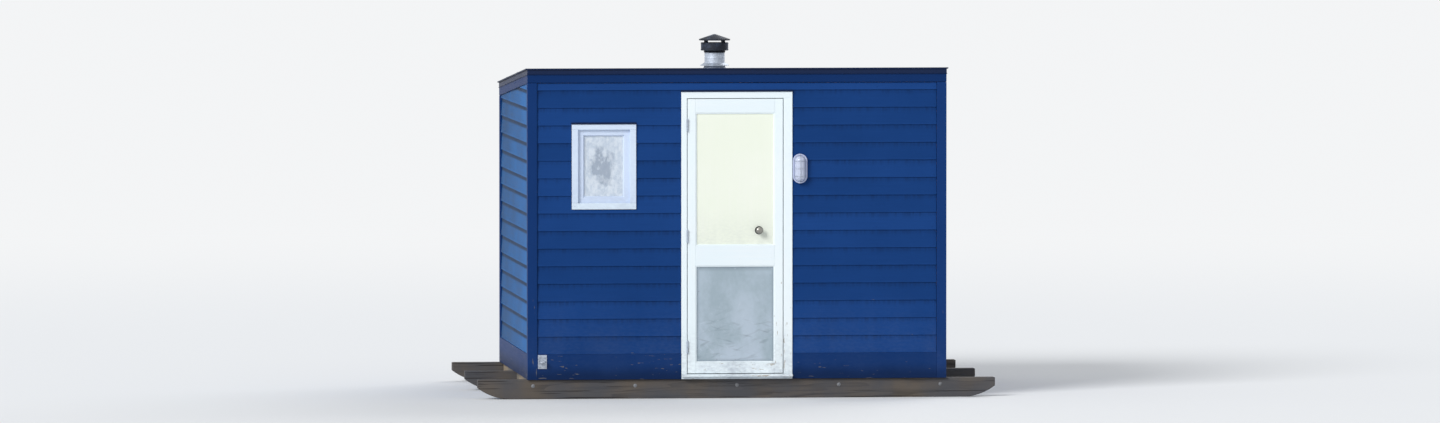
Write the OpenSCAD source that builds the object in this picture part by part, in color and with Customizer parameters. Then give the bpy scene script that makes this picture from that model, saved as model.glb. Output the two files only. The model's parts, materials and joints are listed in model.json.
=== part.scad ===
// Ice fishing hut on three skids: a framed box with a mono-pitch roof, high over the door.
// X runs along the front, Y from the front to the back, Z up from the underside of the skids.

/* [Hut body] */
// Width over the wall panels, along the front
body_w = 3000; // [2600:10:3600]
// Depth over the wall panels, front to back
body_d = 2400; // [2000:10:3000]
// Height of the front wall over the head jamb, up to the rafters
header_h = 93; // [70:1:300]
// Thickness of a lined, insulated wall panel
wall_t = 76; // [60:1:100]
// Thickness of the siding outside the wall panels
siding_t = 14; // [8:1:20]
// Thickness of the corner, base, fascia and casing boards
trim_t = 22; // [21:1:30]
// Width of each leg of a corner board
corner_leg = 70; // [50:1:110]
// Height of the base boards
base_h = 184; // [120:1:190]

/* [Skids and floor] */
// Width of a skid
skid_w = 90; // [60:1:140]
// Height of a skid
skid_h = 140; // [110:1:200]
// Length of a skid past each end wall
skid_past = 380; // [250:5:600]
// Radius of the upswept underside of a skid's end
skid_nose_r = 400; // [250:5:500]
// Height left at the tip of a skid
skid_tip_h = 60; // [40:1:90]
// Thickness of a cross bearer between the skids
bearer_t = 38; // [30:1:60]
// Height of a cross bearer
bearer_h = 90; // [50:1:100]
// Cross bearers in each bay between two skids
bearer_count = 5; // [3:1:9]
// Thickness of the floor deck
deck_t = 18; // [12:1:30]

/* [Roof] */
// Fall of the roof from front to back, in degrees
roof_pitch = 3.9; // [2:0.1:6]
// Thickness of a rafter
rafter_t = 38; // [30:1:60]
// Depth of a rafter
rafter_h = 89; // [70:1:120]
// Number of rafters
rafter_count = 6; // [6:2:10]
// Thickness of the roof deck
roof_deck_t = 12; // [9:1:20]
// Thickness of the roof covering
covering_t = 4; // [3:1:10]
// Overhang of the covering past the fascia and barge boards
drip = 12; // [5:1:40]

/* [Doorway] */
// Clear width between the door jambs
doorway_w = 702; // [600:1:900]
// Clear height from the sill to the head jamb
doorway_h = 1994; // [1900:1:2010]
// Middle of the doorway, from the middle of the front
doorway_x = -15; // [-200:1:200]
// Thickness of a door jamb
jamb_t = 20; // [15:1:30]
// Width of the casing on the hinge side
casing_hinge_w = 40; // [34:1:70]
// Width of the casing on the latch side
casing_latch_w = 64; // [34:1:100]
// Height of the head casing
casing_head_h = 52; // [34:1:70]
// Height of the sill
sill_h = 18; // [12:1:30]
// Projection of the sill past the casings
sill_nose = 40; // [10:1:80]
// Fall of the sill in front of the door
sill_fall = 6; // [2:1:10]
// Thickness of the door stop on the jambs
stop_t = 12; // [8:1:15]
// Width of the door stop, into the hut
stop_w = 28; // [15:1:30]

/* [Door] */
// Thickness of the door leaf
leaf_t = 38; // [34:1:42]
// Running gap round the door leaf
leaf_gap = 5; // [5:0.5:8]
// Width of a door stile
stile_w = 58; // [50:1:90]
// Height of the top rail
top_rail_h = 100; // [60:1:120]
// Height of the lock rail
lock_rail_h = 145; // [100:1:260]
// Height of the bottom rail
bottom_rail_h = 78; // [60:1:200]
// Height of the grey kick panel between its rails
kick_h = 700; // [500:5:900]
// Thickness of a door panel
panel_t = 16; // [10:1:18]
// Depth of the groove that holds a door panel
groove = 10; // [6:1:15]
// Height of the knob above the lock rail
knob_up = 110; // [40:1:200]
// Distance from the edge of the latch stile to the knob
knob_in = 115; // [60:1:200]
// Diameter of the knob
knob_d = 52; // [40:1:64]
// Thickness of the rose behind the knob
rose_t = 5; // [3:1:8]
// Width of the rose past the knob
rose_rim = 4; // [2:1:10]
// Distance from the panel to the middle of the knob
knob_out = 40; // [36:1:60]
// Diameter of the knob's neck
knob_neck_d = 21; // [14:1:28]
// Thickness of the knob, front to back
knob_t = 29; // [24:1:36]

/* [Hinges] */
// Height of a hinge
hinge_h = 90; // [75:5:125]
// Width of a hinge leaf from the pin into the gap
hinge_leaf_w = 36; // [25:1:40]
// Thickness of a hinge leaf
hinge_leaf_t = 2.3; // [1.5:0.1:2.4]
// Outer radius of a hinge knuckle
knuckle_r = 6.5; // [5.5:0.1:7]
// Radius of a hinge pin
pin_r = 3; // [2:0.1:3.5]
// Distance of the outer hinges from the ends of the door leaf
hinge_inset = 190; // [120:5:300]
// Air between a knuckle and the face of the leaf
knuckle_air = 0.5; // [0.3:0.1:2]
// Height of the head on a hinge pin
pin_head_h = 4; // [2:0.5:6]
// Rim of the head past the pin
pin_head_rim = 2; // [1:0.5:3]

/* [Window] */
// Width over the window casing
window_w = 466; // [400:1:700]
// Height over the window casing
window_h = 620; // [500:1:800]
// Distance from the left end of the wall panel to the window casing
window_in = 300; // [150:5:450]
// Distance from the rafters down to the window casing
window_down = 293; // [150:1:500]
// Width of a window casing board
window_casing_w = 45; // [30:1:60]
// Width of a sash member
sash_w = 47; // [40:1:60]
// Depth of a sash member, into the wall
sash_d = 36; // [25:1:50]
// Thickness of the glass
glass_t = 6; // [4:1:12]
// Depth of the glass in the sash
rebate = 8; // [5:1:12]
// Lap of the window casing over the sash
casing_lap = 7; // [4:1:12]

/* [Lamp] */
// Width of the lamp's base
lamp_w = 104; // [80:1:130]
// Height of the lamp's base
lamp_h = 214; // [180:1:260]
// Thickness of the lamp's base
lamp_base_t = 24; // [15:1:40]
// Width of the lamp's globe
globe_w = 80; // [60:1:100]
// Middle of the lamp above the ground
lamp_z = 1660; // [1400:5:1900]
// Gap from the latch side casing to the lamp
lamp_gap = 3; // [2:1:60]
// Depth of the globe's seat in the base
globe_seat = 6; // [3:1:10]

/* [Stove pipe] */
// Outer diameter of the stove pipe
pipe_d = 150; // [125:1:180]
// Wall of the stove pipe
pipe_wall = 2; // [1:0.5:4]
// Middle of the pipe, from the middle of the front
pipe_x = -40; // [-150:1:150]
// Middle of the pipe, from the middle of the depth
pipe_y = 0; // [-300:5:300]
// Length of the pipe under the rafters
pipe_below = 60; // [20:5:200]
// Height of the pipe's end above the roof
pipe_rise = 205; // [205:1:400]
// Room round the pipe in the roof
pipe_room = 20; // [10:1:40]
// Width of the flashing plate on the roof
flashing_w = 360; // [340:10:500]
// Thickness of the flashing's sheet
flashing_t = 3; // [2:0.5:5]
// Height of the flashing's cone
flashing_cone_h = 60; // [50:1:80]
// Flare of the flashing's cone at the roof
flashing_flare = 45; // [30:1:60]
// Width of the storm collar past the pipe
collar_w = 30; // [15:1:45]
// Height of the storm collar
collar_h = 20; // [12:1:30]
// Height of the storm collar above the flashing
collar_up = 4; // [1:1:20]

/* [Rain cap] */
// Diameter of the cap's hat
hat_d = 228; // [215:1:280]
// Height of the hat's cone
hat_cone_h = 36; // [20:1:60]
// Height of the lip round the hat
hat_lip = 10; // [6:1:20]
// Open slot between the hat and the band
cap_slot = 16; // [8:1:30]
// Diameter of the band round the pipe's end
band_d = 204; // [196:1:212]
// Height of the band
band_h = 58; // [30:1:70]
// Height of the band above the pipe's end
band_up = 28; // [10:1:40]
// Height of the cap's collar on the pipe
cap_collar_h = 45; // [30:1:60]
// Thickness of the cap's sheet
cap_sheet = 2; // [1.5:0.5:4]
// Number of webs that carry the hat
cap_webs = 4; // [3:1:6]

/* [Tie-down eye] */
// Width of the eye's plate
eye_plate_w = 64; // [60:1:90]
// Height of the eye's plate
eye_plate_h = 100; // [80:1:110]
// Thickness of the eye's plate
eye_plate_t = 6; // [4:1:10]
// Thickness of the lug
eye_lug_t = 12; // [8:1:20]
// Diameter of the hole in the lug
eye_bore_d = 26; // [18:1:32]
// Steel around the hole in the lug
eye_rim = 11; // [8:1:14]
// Distance from the corner board to the plate
eye_in = 5; // [5:1:60]
// Distance from the top of the base board to the plate
eye_down = 4; // [2:1:40]
// Distance from the plate to the round of the lug
eye_stand = 2; // [1:1:20]

/* [Fits] */
// Clearance of a piece seated in a hole or groove
seat_gap = 0.3; // [0.2:0.05:0.8]
// Radial running clearance of a hinge pin
pin_gap = 0.05; // [0.02:0.01:0.1]
// Gap between two neighbouring knuckles
knuckle_gap = 0.3; // [0.2:0.05:1]

/* [Hidden] */
$fn = 96;

// Planes of the body
wall_x = body_w / 2;
wall_y = body_d / 2;
trim_x = wall_x + trim_t;
trim_y = wall_y + trim_t;
front_face = -wall_y;
front_trim = -trim_y;
front_siding_face = -wall_y - siding_t;
deck_top = skid_h + deck_t;
base_top = skid_h + base_h;
sill_top = deck_top + sill_h;
head_z = sill_top + doorway_h;
rough_top = head_z + jamb_t;
eave_z = rough_top + header_h;
sky = eave_z + body_d;

// Inner limits of the boards that butt against the corner boards
between_corners_x = trim_x - corner_leg;
between_corners_y = trim_y - corner_leg;

// Height of a surface that lies h above the underside of the rafters, at depth y
function roof_z(y, h) = eave_z - (y + wall_y) * tan(roof_pitch) + h / cos(roof_pitch);

// Layers of the roof, from the underside of the rafters, each seated on the last
wall_high = -seat_gap;
deck_low = rafter_h + seat_gap;
deck_high = deck_low + roof_deck_t;
covering_low = deck_high + seat_gap;
covering_high = covering_low + covering_t;
flashing_low = covering_high + seat_gap;

// Skids
skid_len = body_w + 2 * skid_past;
skid_row = wall_y - skid_w / 2;
skid_rise = skid_h - skid_tip_h;
skid_sweep = sqrt(2 * skid_nose_r * skid_rise - skid_rise * skid_rise);
skid_flat = skid_len / 2 - skid_sweep;
bearer_span = skid_row - skid_w;

// Doorway
jamb_l = doorway_x - doorway_w / 2;
jamb_r = doorway_x + doorway_w / 2;
unit_l = jamb_l - casing_hinge_w;
unit_r = jamb_r + casing_latch_w;
unit_top = head_z + casing_head_h;
rough_l = jamb_l - jamb_t;
rough_r = jamb_r + jamb_t;

// Door leaf
leaf_l = jamb_l + leaf_gap;
leaf_r = jamb_r - leaf_gap;
leaf_bottom = sill_top + leaf_gap;
leaf_top = head_z - leaf_gap;
leaf_outer = front_trim;
leaf_inner = leaf_outer + leaf_t;
kick_low = leaf_bottom + bottom_rail_h;
kick_high = kick_low + kick_h;
upper_low = kick_high + lock_rail_h;
upper_high = leaf_top - top_rail_h;
panel_outer = leaf_outer + (leaf_t - panel_t) / 2;
stop_outer = leaf_inner + leaf_gap;

// Hinges: the pin stands in front of the gap between the jamb and the leaf
hinge_x = jamb_l + leaf_gap / 2;
hinge_y = front_trim - knuckle_r - knuckle_air;
knuckle_h = hinge_h / 5;
hinge_plate_in = knuckle_r + knuckle_air;
hinge_rows = [
    leaf_bottom + hinge_inset,
    (leaf_bottom + leaf_top) / 2,
    leaf_top - hinge_inset
];

// Window
window_x = window_in + window_w / 2 - wall_x;
window_z = eave_z - window_down - window_h / 2;
sash_outer_w = window_w - 2 * window_casing_w + 2 * casing_lap;
sash_outer_h = window_h - 2 * window_casing_w + 2 * casing_lap;
sight_w = sash_outer_w - 2 * sash_w;
sight_h = sash_outer_h - 2 * sash_w;
glass_y = front_face + sash_d / 2;

// Lamp, pipe and eye
lamp_x = unit_r + lamp_gap + lamp_w / 2;
pipe_bottom = roof_z(pipe_y + pipe_d / 2, 0) - pipe_below;
pipe_roof_z = roof_z(pipe_y, covering_high);
pipe_top = pipe_roof_z + pipe_rise;
neck_r = pipe_d / 2 + seat_gap;
eye_x = -between_corners_x + eye_in + eye_plate_w / 2;
eye_z = base_top - eye_down - eye_plate_h / 2;
eye_r = eye_bore_d / 2 + eye_rim;
eye_y = -eye_plate_t - eye_stand - eye_r;

// A box between two opposite corners
module block(low, high) translate(low) cube(high - low);

// A profile drawn in depth and height, run along the width from x0 to x1
module along_x(x0, x1)
    translate([x0, 0, 0]) rotate([90, 0, 90]) linear_extrude(height = x1 - x0) children();

// An upright slab from z0 up to its seat under the rafters
module under_roof(x0, x1, y0, y1, z0)
    along_x(x0, x1)
        polygon([[y0, z0], [y1, z0], [y1, roof_z(y1, wall_high)], [y0, roof_z(y0, wall_high)]]);

// A sloping slab of the roof, with plumb ends
module roof_layer(x0, x1, y0, y1, h0, h1)
    along_x(x0, x1)
        polygon([[y0, roof_z(y0, h0)], [y1, roof_z(y1, h0)], [y1, roof_z(y1, h1)], [y0, roof_z(y0, h1)]]);

// The outline of a skid: flat below, its ends swept up along an arc
module skid_outline() {
    translate([-skid_flat, 0]) square([2 * skid_flat, skid_h]);
    for (side = [-1, 1])
        intersection() {
            translate([side * (skid_flat + skid_sweep / 2), skid_h / 2])
                square([skid_sweep, skid_h], center = true);
            translate([side * skid_flat, skid_nose_r]) circle(r = skid_nose_r, $fn = 360);
        }
}

module skid(y)
    color("#4a4038") translate([0, y, 0]) rotate([90, 0, 0])
        linear_extrude(height = skid_w, center = true) skid_outline();

module skid_front() skid(-skid_row);

module skid_middle() skid(0);

module skid_rear() skid(skid_row);

// Cross bearers, flush with the top of the skids
module floor_bearers() {
    pitch = (body_w - bearer_t) / (bearer_count - 1);
    color("#8a6f4d")
        for (side = [-1, 1], i = [0 : bearer_count - 1])
            translate([i * pitch - wall_x, side == 1 ? skid_w / 2 : -skid_w / 2 - bearer_span, skid_h - bearer_h])
                cube([bearer_t, bearer_span, bearer_h]);
}

module floor_deck()
    color("#b08a5a") block([-wall_x, -wall_y, skid_h], [wall_x, wall_y, deck_top]);

// Front wall, split beside and over the doorway
module front_wall_left()
    color("#c9a877") difference() {
        under_roof(-wall_x, rough_l, -wall_y, -wall_y + wall_t, deck_top);
        window_hole(sash_outer_w + 2 * seat_gap, sash_outer_h + 2 * seat_gap);
    }

module front_wall_right()
    color("#c9a877") under_roof(rough_r, wall_x, -wall_y, -wall_y + wall_t, deck_top);

module front_wall_header()
    color("#c9a877") under_roof(rough_l, rough_r, -wall_y, -wall_y + wall_t, rough_top);

module side_wall(x0)
    color("#c9a877") under_roof(x0, x0 + wall_t, -wall_y + wall_t, wall_y - wall_t, deck_top);

module left_wall() side_wall(-wall_x);

module right_wall() side_wall(wall_x - wall_t);

module rear_wall()
    color("#c9a877") under_roof(-wall_x, wall_x, wall_y - wall_t, wall_y, deck_top);

// A hole through the front, centred on the window
module window_hole(w, h)
    translate([window_x, front_face, window_z]) cube([w, 4 * wall_t, h], center = true);

// Siding between the corner boards, above the base boards
module front_siding()
    color("#1b3d78") difference() {
        under_roof(-between_corners_x, between_corners_x, -wall_y - siding_t, -wall_y, base_top);
        block([unit_l, -wall_y - siding_t, 0], [unit_r, -wall_y, unit_top]);
        window_hole(window_w, window_h);
    }

module side_siding(x0)
    color("#1b3d78")
        under_roof(x0, x0 + siding_t, -between_corners_y, between_corners_y, base_top);

module left_siding() side_siding(-wall_x - siding_t);

module right_siding() side_siding(wall_x);

module rear_siding()
    color("#1b3d78")
        under_roof(-between_corners_x, between_corners_x, wall_y, wall_y + siding_t, base_top);

// An angle of two boards round each corner, cut off under the roof
module corner_boards()
    color("#18356b")
        for (sx = [-1, 1], sy = [-1, 1])
            intersection() {
                linear_extrude(height = sky)
                    difference() {
                        translate([sx * (trim_x - corner_leg / 2), sy * (trim_y - corner_leg / 2)])
                            square(corner_leg, center = true);
                        translate([sx * (wall_x - corner_leg / 2), sy * (wall_y - corner_leg / 2)])
                            square(corner_leg, center = true);
                    }
                under_roof(-trim_x, trim_x, -trim_y, trim_y, skid_h);
            }

// Base boards between the corner boards; the front one stops at the door casings
module base_boards()
    color("#14294f") {
        block([-between_corners_x, -trim_y, skid_h], [unit_l, -wall_y, base_top]);
        block([unit_r, -trim_y, skid_h], [between_corners_x, -wall_y, base_top]);
        block([-between_corners_x, wall_y, skid_h], [between_corners_x, trim_y, base_top]);
        for (x = [-trim_x, wall_x])
            block([x, -between_corners_y, skid_h], [x + trim_t, between_corners_y, base_top]);
    }

module roof_rafters() {
    pitch = (body_w - rafter_t) / (rafter_count - 1);
    color("#c9a877")
        for (i = [0 : rafter_count - 1])
            roof_layer(i * pitch - wall_x, i * pitch - wall_x + rafter_t, -wall_y, wall_y, 0, rafter_h);
}

module roof_deck()
    color("#b08a5a") difference() {
        roof_layer(-wall_x, wall_x, -wall_y, wall_y, deck_low, deck_high);
        pipe_hole();
    }

module roof_covering()
    color("#3a3d42") difference() {
        roof_layer(-trim_x - drip, trim_x + drip, -trim_y - drip, trim_y + drip, covering_low, covering_high);
        pipe_hole();
    }

// The hole for the pipe, with room round it
module pipe_hole()
    translate([pipe_x, pipe_y, pipe_bottom])
        cylinder(d = pipe_d + 2 * pipe_room, h = pipe_top - pipe_bottom);

// Boards over the rafter ends
module fascia_boards()
    color("#17325b")
        for (y = [-trim_y, wall_y])
            roof_layer(-trim_x, trim_x, y, y + trim_t, 0, deck_high);

// Sloping boards over the end rafters, between the fascia boards
module barge_boards()
    color("#17325b")
        for (x = [-trim_x, wall_x])
            roof_layer(x, x + trim_t, -wall_y, wall_y, 0, deck_high);

// A jamb in plan: a board through the wall with a stop behind the leaf
module jamb_outline() {
    stop_end = stop_outer + stop_w;
    polygon([
        [0, front_face], [jamb_t, front_face],
        [jamb_t, stop_outer], [jamb_t + stop_t, stop_outer],
        [jamb_t + stop_t, stop_end], [jamb_t, stop_end],
        [jamb_t, front_face + wall_t], [0, front_face + wall_t]
    ]);
}

module door_side_jambs()
    color("#e9f0f5") {
        translate([rough_l, 0, sill_top]) linear_extrude(height = doorway_h) jamb_outline();
        translate([rough_r, 0, sill_top]) mirror([1, 0, 0])
            linear_extrude(height = doorway_h) jamb_outline();
    }

module door_head_jamb()
    color("#e9f0f5") {
        block([rough_l, front_face, head_z], [rough_r, front_face + wall_t, rough_top]);
        block([jamb_l + stop_t, stop_outer, head_z - stop_t], [jamb_r - stop_t, stop_outer + stop_w, head_z]);
    }

// Casings stand on the sill and cover the edges of the jambs
module door_side_casings()
    color("#e9f4fa") {
        block([unit_l, -trim_y, sill_top], [jamb_l, -wall_y, head_z]);
        block([jamb_r, -trim_y, sill_top], [unit_r, -wall_y, head_z]);
    }

module door_head_casing()
    color("#e9f4fa") block([unit_l, -trim_y, head_z], [unit_r, -wall_y, unit_top]);

// The sill carries the casings; its nose falls away and an apron covers the deck's edge
module door_sill()
    color("#dfe6ea") union() {
        along_x(unit_l, unit_r) polygon([
            [front_trim - sill_nose, deck_top],
            [front_trim, deck_top],
            [front_trim, skid_h],
            [front_face, skid_h],
            [front_face, sill_top],
            [front_trim, sill_top],
            [front_trim - sill_nose, sill_top - sill_fall]
        ]);
        block([rough_l, front_face, deck_top], [rough_r, front_face + wall_t, sill_top]);
    }

// One knuckle of a hinge, number i of five, with the bore for the pin
module knuckle(i)
    translate([0, 0, i * knuckle_h + knuckle_gap / 2])
        cylinder(r = knuckle_r, h = knuckle_h - knuckle_gap);

// Half of a hinge: its plate on one side of the gap and its own knuckles
module hinge_half(side, own) {
    plate_x = leaf_gap / 2 - hinge_leaf_t;
    difference() {
        union() {
            translate([side == 1 ? plate_x : -plate_x - hinge_leaf_t, hinge_plate_in, 0])
                cube([hinge_leaf_t, hinge_leaf_w - hinge_plate_in, hinge_h]);
            for (i = own) {
                knuckle(i);
                translate([side == 1 ? plate_x : -plate_x - hinge_leaf_t, 0, i * knuckle_h + knuckle_gap / 2])
                    cube([hinge_leaf_t, hinge_plate_in + 1, knuckle_h - knuckle_gap]);
            }
        }
        translate([0, 0, -1]) cylinder(r = pin_r + pin_gap, h = hinge_h + 2);
    }
}

// Places its children at the foot of each hinge
module at_hinges()
    for (z = hinge_rows)
        translate([hinge_x, hinge_y, z - hinge_h / 2]) children();

module hinge_jamb_leaves() color("#b9bec3") at_hinges() hinge_half(-1, [0, 2, 4]);

module hinge_door_leaves() color("#b9bec3") at_hinges() hinge_half(1, [1, 3]);

// A pin with a flat head on top of the knuckles
module hinge_pins()
    color("#9aa0a6") at_hinges() {
        cylinder(r = pin_r, h = hinge_h);
        translate([0, 0, hinge_h - knuckle_gap / 2])
            cylinder(r1 = pin_r + pin_head_rim, r2 = pin_r, h = pin_head_h);
    }

// The groove that holds both panels, run round the inside of the door frame
module panel_groove()
    for (z = [[kick_low, kick_high], [upper_low, upper_high]])
        block(
            [leaf_l + stile_w - groove, panel_outer - seat_gap, z[0] - groove],
            [leaf_r - stile_w + groove, panel_outer + panel_t + seat_gap, z[1] + groove]
        );

module door_stiles()
    color("#edf6fa") difference() {
        union() {
            block([leaf_l, leaf_outer, leaf_bottom], [leaf_l + stile_w, leaf_inner, leaf_top]);
            block([leaf_r - stile_w, leaf_outer, leaf_bottom], [leaf_r, leaf_inner, leaf_top]);
        }
        panel_groove();
    }

module door_rails()
    color("#edf6fa") difference() {
        for (z = [[leaf_bottom, kick_low], [kick_high, upper_low], [upper_high, leaf_top]])
            block([leaf_l + stile_w, leaf_outer, z[0]], [leaf_r - stile_w, leaf_inner, z[1]]);
        panel_groove();
    }

// A panel that fills the groove between two heights
module door_panel(z0, z1) {
    reach = groove - seat_gap;
    block(
        [leaf_l + stile_w - reach, panel_outer, z0 - reach],
        [leaf_r - stile_w + reach, panel_outer + panel_t, z1 + reach]
    );
}

module door_upper_panel() color("#f0f7eb") door_panel(upper_low, upper_high);

module door_kick_panel() color("#a6b7c5") door_panel(kick_low, kick_high);

// A turned knob on a round rose, screwed to the upper panel
module door_knob()
    color("#2b2e33")
        translate([leaf_r - stile_w - knob_in, panel_outer, upper_low + knob_up]) rotate([90, 0, 0]) {
            cylinder(d = knob_d + 2 * rose_rim, h = rose_t);
            cylinder(d = knob_neck_d, h = knob_out);
            translate([0, 0, knob_out]) intersection() {
                sphere(d = knob_d);
                cylinder(d = knob_d, h = knob_t, center = true);
            }
        }

module window_casing()
    color("#cddbf4") difference() {
        translate([window_x, front_face - trim_t / 2, window_z])
            cube([window_w, trim_t, window_h], center = true);
        window_hole(window_w - 2 * window_casing_w, window_h - 2 * window_casing_w);
    }

// The sash, with a groove round its opening for the glass
module window_sash()
    color("#d5e0f2") difference() {
        translate([window_x, glass_y, window_z])
            cube([sash_outer_w, sash_d, sash_outer_h], center = true);
        window_hole(sight_w, sight_h);
        translate([window_x, glass_y, window_z])
            cube([sight_w + 2 * rebate, glass_t + 2 * seat_gap, sight_h + 2 * rebate], center = true);
    }

module window_glass() {
    edge = 2 * (rebate - seat_gap);
    color("#bbc7d6", 0.8) translate([window_x, glass_y, window_z])
        cube([sight_w + edge, glass_t, sight_h + edge], center = true);
}

// A flat outline with round ends, w wide and h high
module stadium(w, h) {
    square([w, h - w], center = true);
    for (side = [-1, 1]) translate([0, side * (h - w) / 2]) circle(d = w);
}

module at_lamp()
    translate([lamp_x, front_siding_face, lamp_z]) rotate([90, 0, 0]) children();

// The lamp's base, with a seat for the globe
module lamp_base()
    color("#d5dae6") at_lamp() difference() {
        linear_extrude(height = lamp_base_t) stadium(lamp_w, lamp_h);
        translate([0, 0, lamp_base_t - globe_seat]) linear_extrude(height = 2 * globe_seat)
            stadium(globe_w + 2 * seat_gap, lamp_h - lamp_w + globe_w + 2 * seat_gap);
    }

// Half of a capsule, seated in the base
module lamp_globe()
    color("#e8ecf5") at_lamp() translate([0, 0, lamp_base_t - globe_seat]) intersection() {
        union() {
            rotate([90, 0, 0]) cylinder(d = globe_w, h = lamp_h - lamp_w, center = true);
            for (side = [-1, 1]) translate([0, side * (lamp_h - lamp_w) / 2, 0]) sphere(d = globe_w);
        }
        translate([-globe_w, -lamp_h, 0]) cube([2 * globe_w, 2 * lamp_h, globe_w]);
    }

module stove_pipe()
    color("#b4bac2") translate([pipe_x, pipe_y, 0]) difference() {
        translate([0, 0, pipe_bottom]) cylinder(d = pipe_d, h = pipe_top - pipe_bottom);
        translate([0, 0, pipe_bottom - 1])
            cylinder(d = pipe_d - 2 * pipe_wall, h = pipe_top - pipe_bottom + 2);
    }

// Underside of the hat at radius r, above the pipe's end
function hat_under(r) =
    band_up + cap_slot + hat_lip + hat_cone_h * (1 - 2 * r / hat_d) - cap_sheet;

// The rain cap: a collar on the pipe, an open band, and a coned hat on webs
module pipe_cap() {
    hat_r = hat_d / 2;
    band_r = band_d / 2;
    hat_low = band_up + cap_slot;
    color("#23262b") translate([pipe_x, pipe_y, pipe_top]) {
        rotate_extrude() {
            translate([neck_r, -cap_collar_h]) square([cap_sheet, cap_collar_h]);
            translate([band_r - cap_sheet, band_up - band_h]) square([cap_sheet, band_h]);
            polygon([
                [hat_r - cap_sheet, hat_low],
                [hat_r, hat_low],
                [hat_r, hat_low + hat_lip],
                [0, hat_low + hat_lip + hat_cone_h],
                [0, hat_under(0)],
                [hat_r - cap_sheet, hat_under(hat_r - cap_sheet)]
            ]);
        }
        for (i = [0 : cap_webs - 1])
            rotate([90, 0, 45 + i * 360 / cap_webs])
                linear_extrude(height = cap_sheet, center = true) polygon([
                    [neck_r + cap_sheet / 2, band_up - band_h],
                    [band_r - cap_sheet / 2, band_up - band_h],
                    [band_r - cap_sheet / 2, hat_under(band_r) + cap_sheet / 2],
                    [neck_r + cap_sheet / 2, hat_under(neck_r) + cap_sheet / 2]
                ]);
    }
}

// A sloping ring on the pipe that sheds rain over the flashing
module storm_collar()
    color("#9aa2ac")
        translate([pipe_x, pipe_y, pipe_roof_z + flashing_cone_h + collar_up]) rotate_extrude()
            polygon([
                [neck_r, 0],
                [neck_r + collar_w, 0],
                [neck_r + collar_w, flashing_t],
                [neck_r + flashing_t, collar_h],
                [neck_r, collar_h]
            ]);

// The flashing: a plate on the covering and a cone up to the pipe
module roof_flashing()
    color("#8f98a3") difference() {
        union() {
            roof_layer(
                pipe_x - flashing_w / 2, pipe_x + flashing_w / 2,
                pipe_y - flashing_w / 2, pipe_y + flashing_w / 2,
                flashing_low, flashing_low + flashing_t
            );
            difference() {
                translate([pipe_x, pipe_y, pipe_roof_z - flashing_flare / 2]) cylinder(
                    r1 = neck_r + flashing_flare,
                    r2 = neck_r + flashing_t,
                    h = flashing_cone_h + flashing_flare / 2
                );
                roof_layer(-wall_x, wall_x, -wall_y, wall_y, 0, flashing_low + flashing_t / 2);
            }
        }
        translate([pipe_x, pipe_y, pipe_roof_z - flashing_flare])
            cylinder(r = neck_r, h = flashing_cone_h + 2 * flashing_flare);
    }

// A bolted plate with a flat lug, drilled upright for a shackle
module tie_down_eye()
    color("#c3c9d2") translate([eye_x, front_trim, eye_z]) difference() {
        union() {
            translate([-eye_plate_w / 2, -eye_plate_t, -eye_plate_h / 2])
                cube([eye_plate_w, eye_plate_t, eye_plate_h]);
            translate([0, 0, -eye_lug_t / 2]) linear_extrude(height = eye_lug_t) {
                translate([0, eye_y]) circle(r = eye_r);
                translate([-eye_r, eye_y]) square([2 * eye_r, -eye_y - eye_plate_t / 2]);
            }
        }
        translate([0, eye_y, -eye_lug_t]) cylinder(d = eye_bore_d, h = 2 * eye_lug_t);
    }

skid_front();
skid_middle();
skid_rear();
floor_bearers();
floor_deck();
front_wall_left();
front_wall_right();
front_wall_header();
left_wall();
right_wall();
rear_wall();
front_siding();
left_siding();
right_siding();
rear_siding();
corner_boards();
base_boards();
roof_rafters();
roof_deck();
roof_covering();
fascia_boards();
barge_boards();
door_side_jambs();
door_head_jamb();
door_side_casings();
door_head_casing();
door_sill();
hinge_jamb_leaves();
hinge_pins();
hinge_door_leaves();
door_stiles();
door_rails();
door_upper_panel();
door_kick_panel();
door_knob();
window_casing();
window_sash();
window_glass();
lamp_base();
lamp_globe();
stove_pipe();
pipe_cap();
storm_collar();
roof_flashing();
tie_down_eye();
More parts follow.
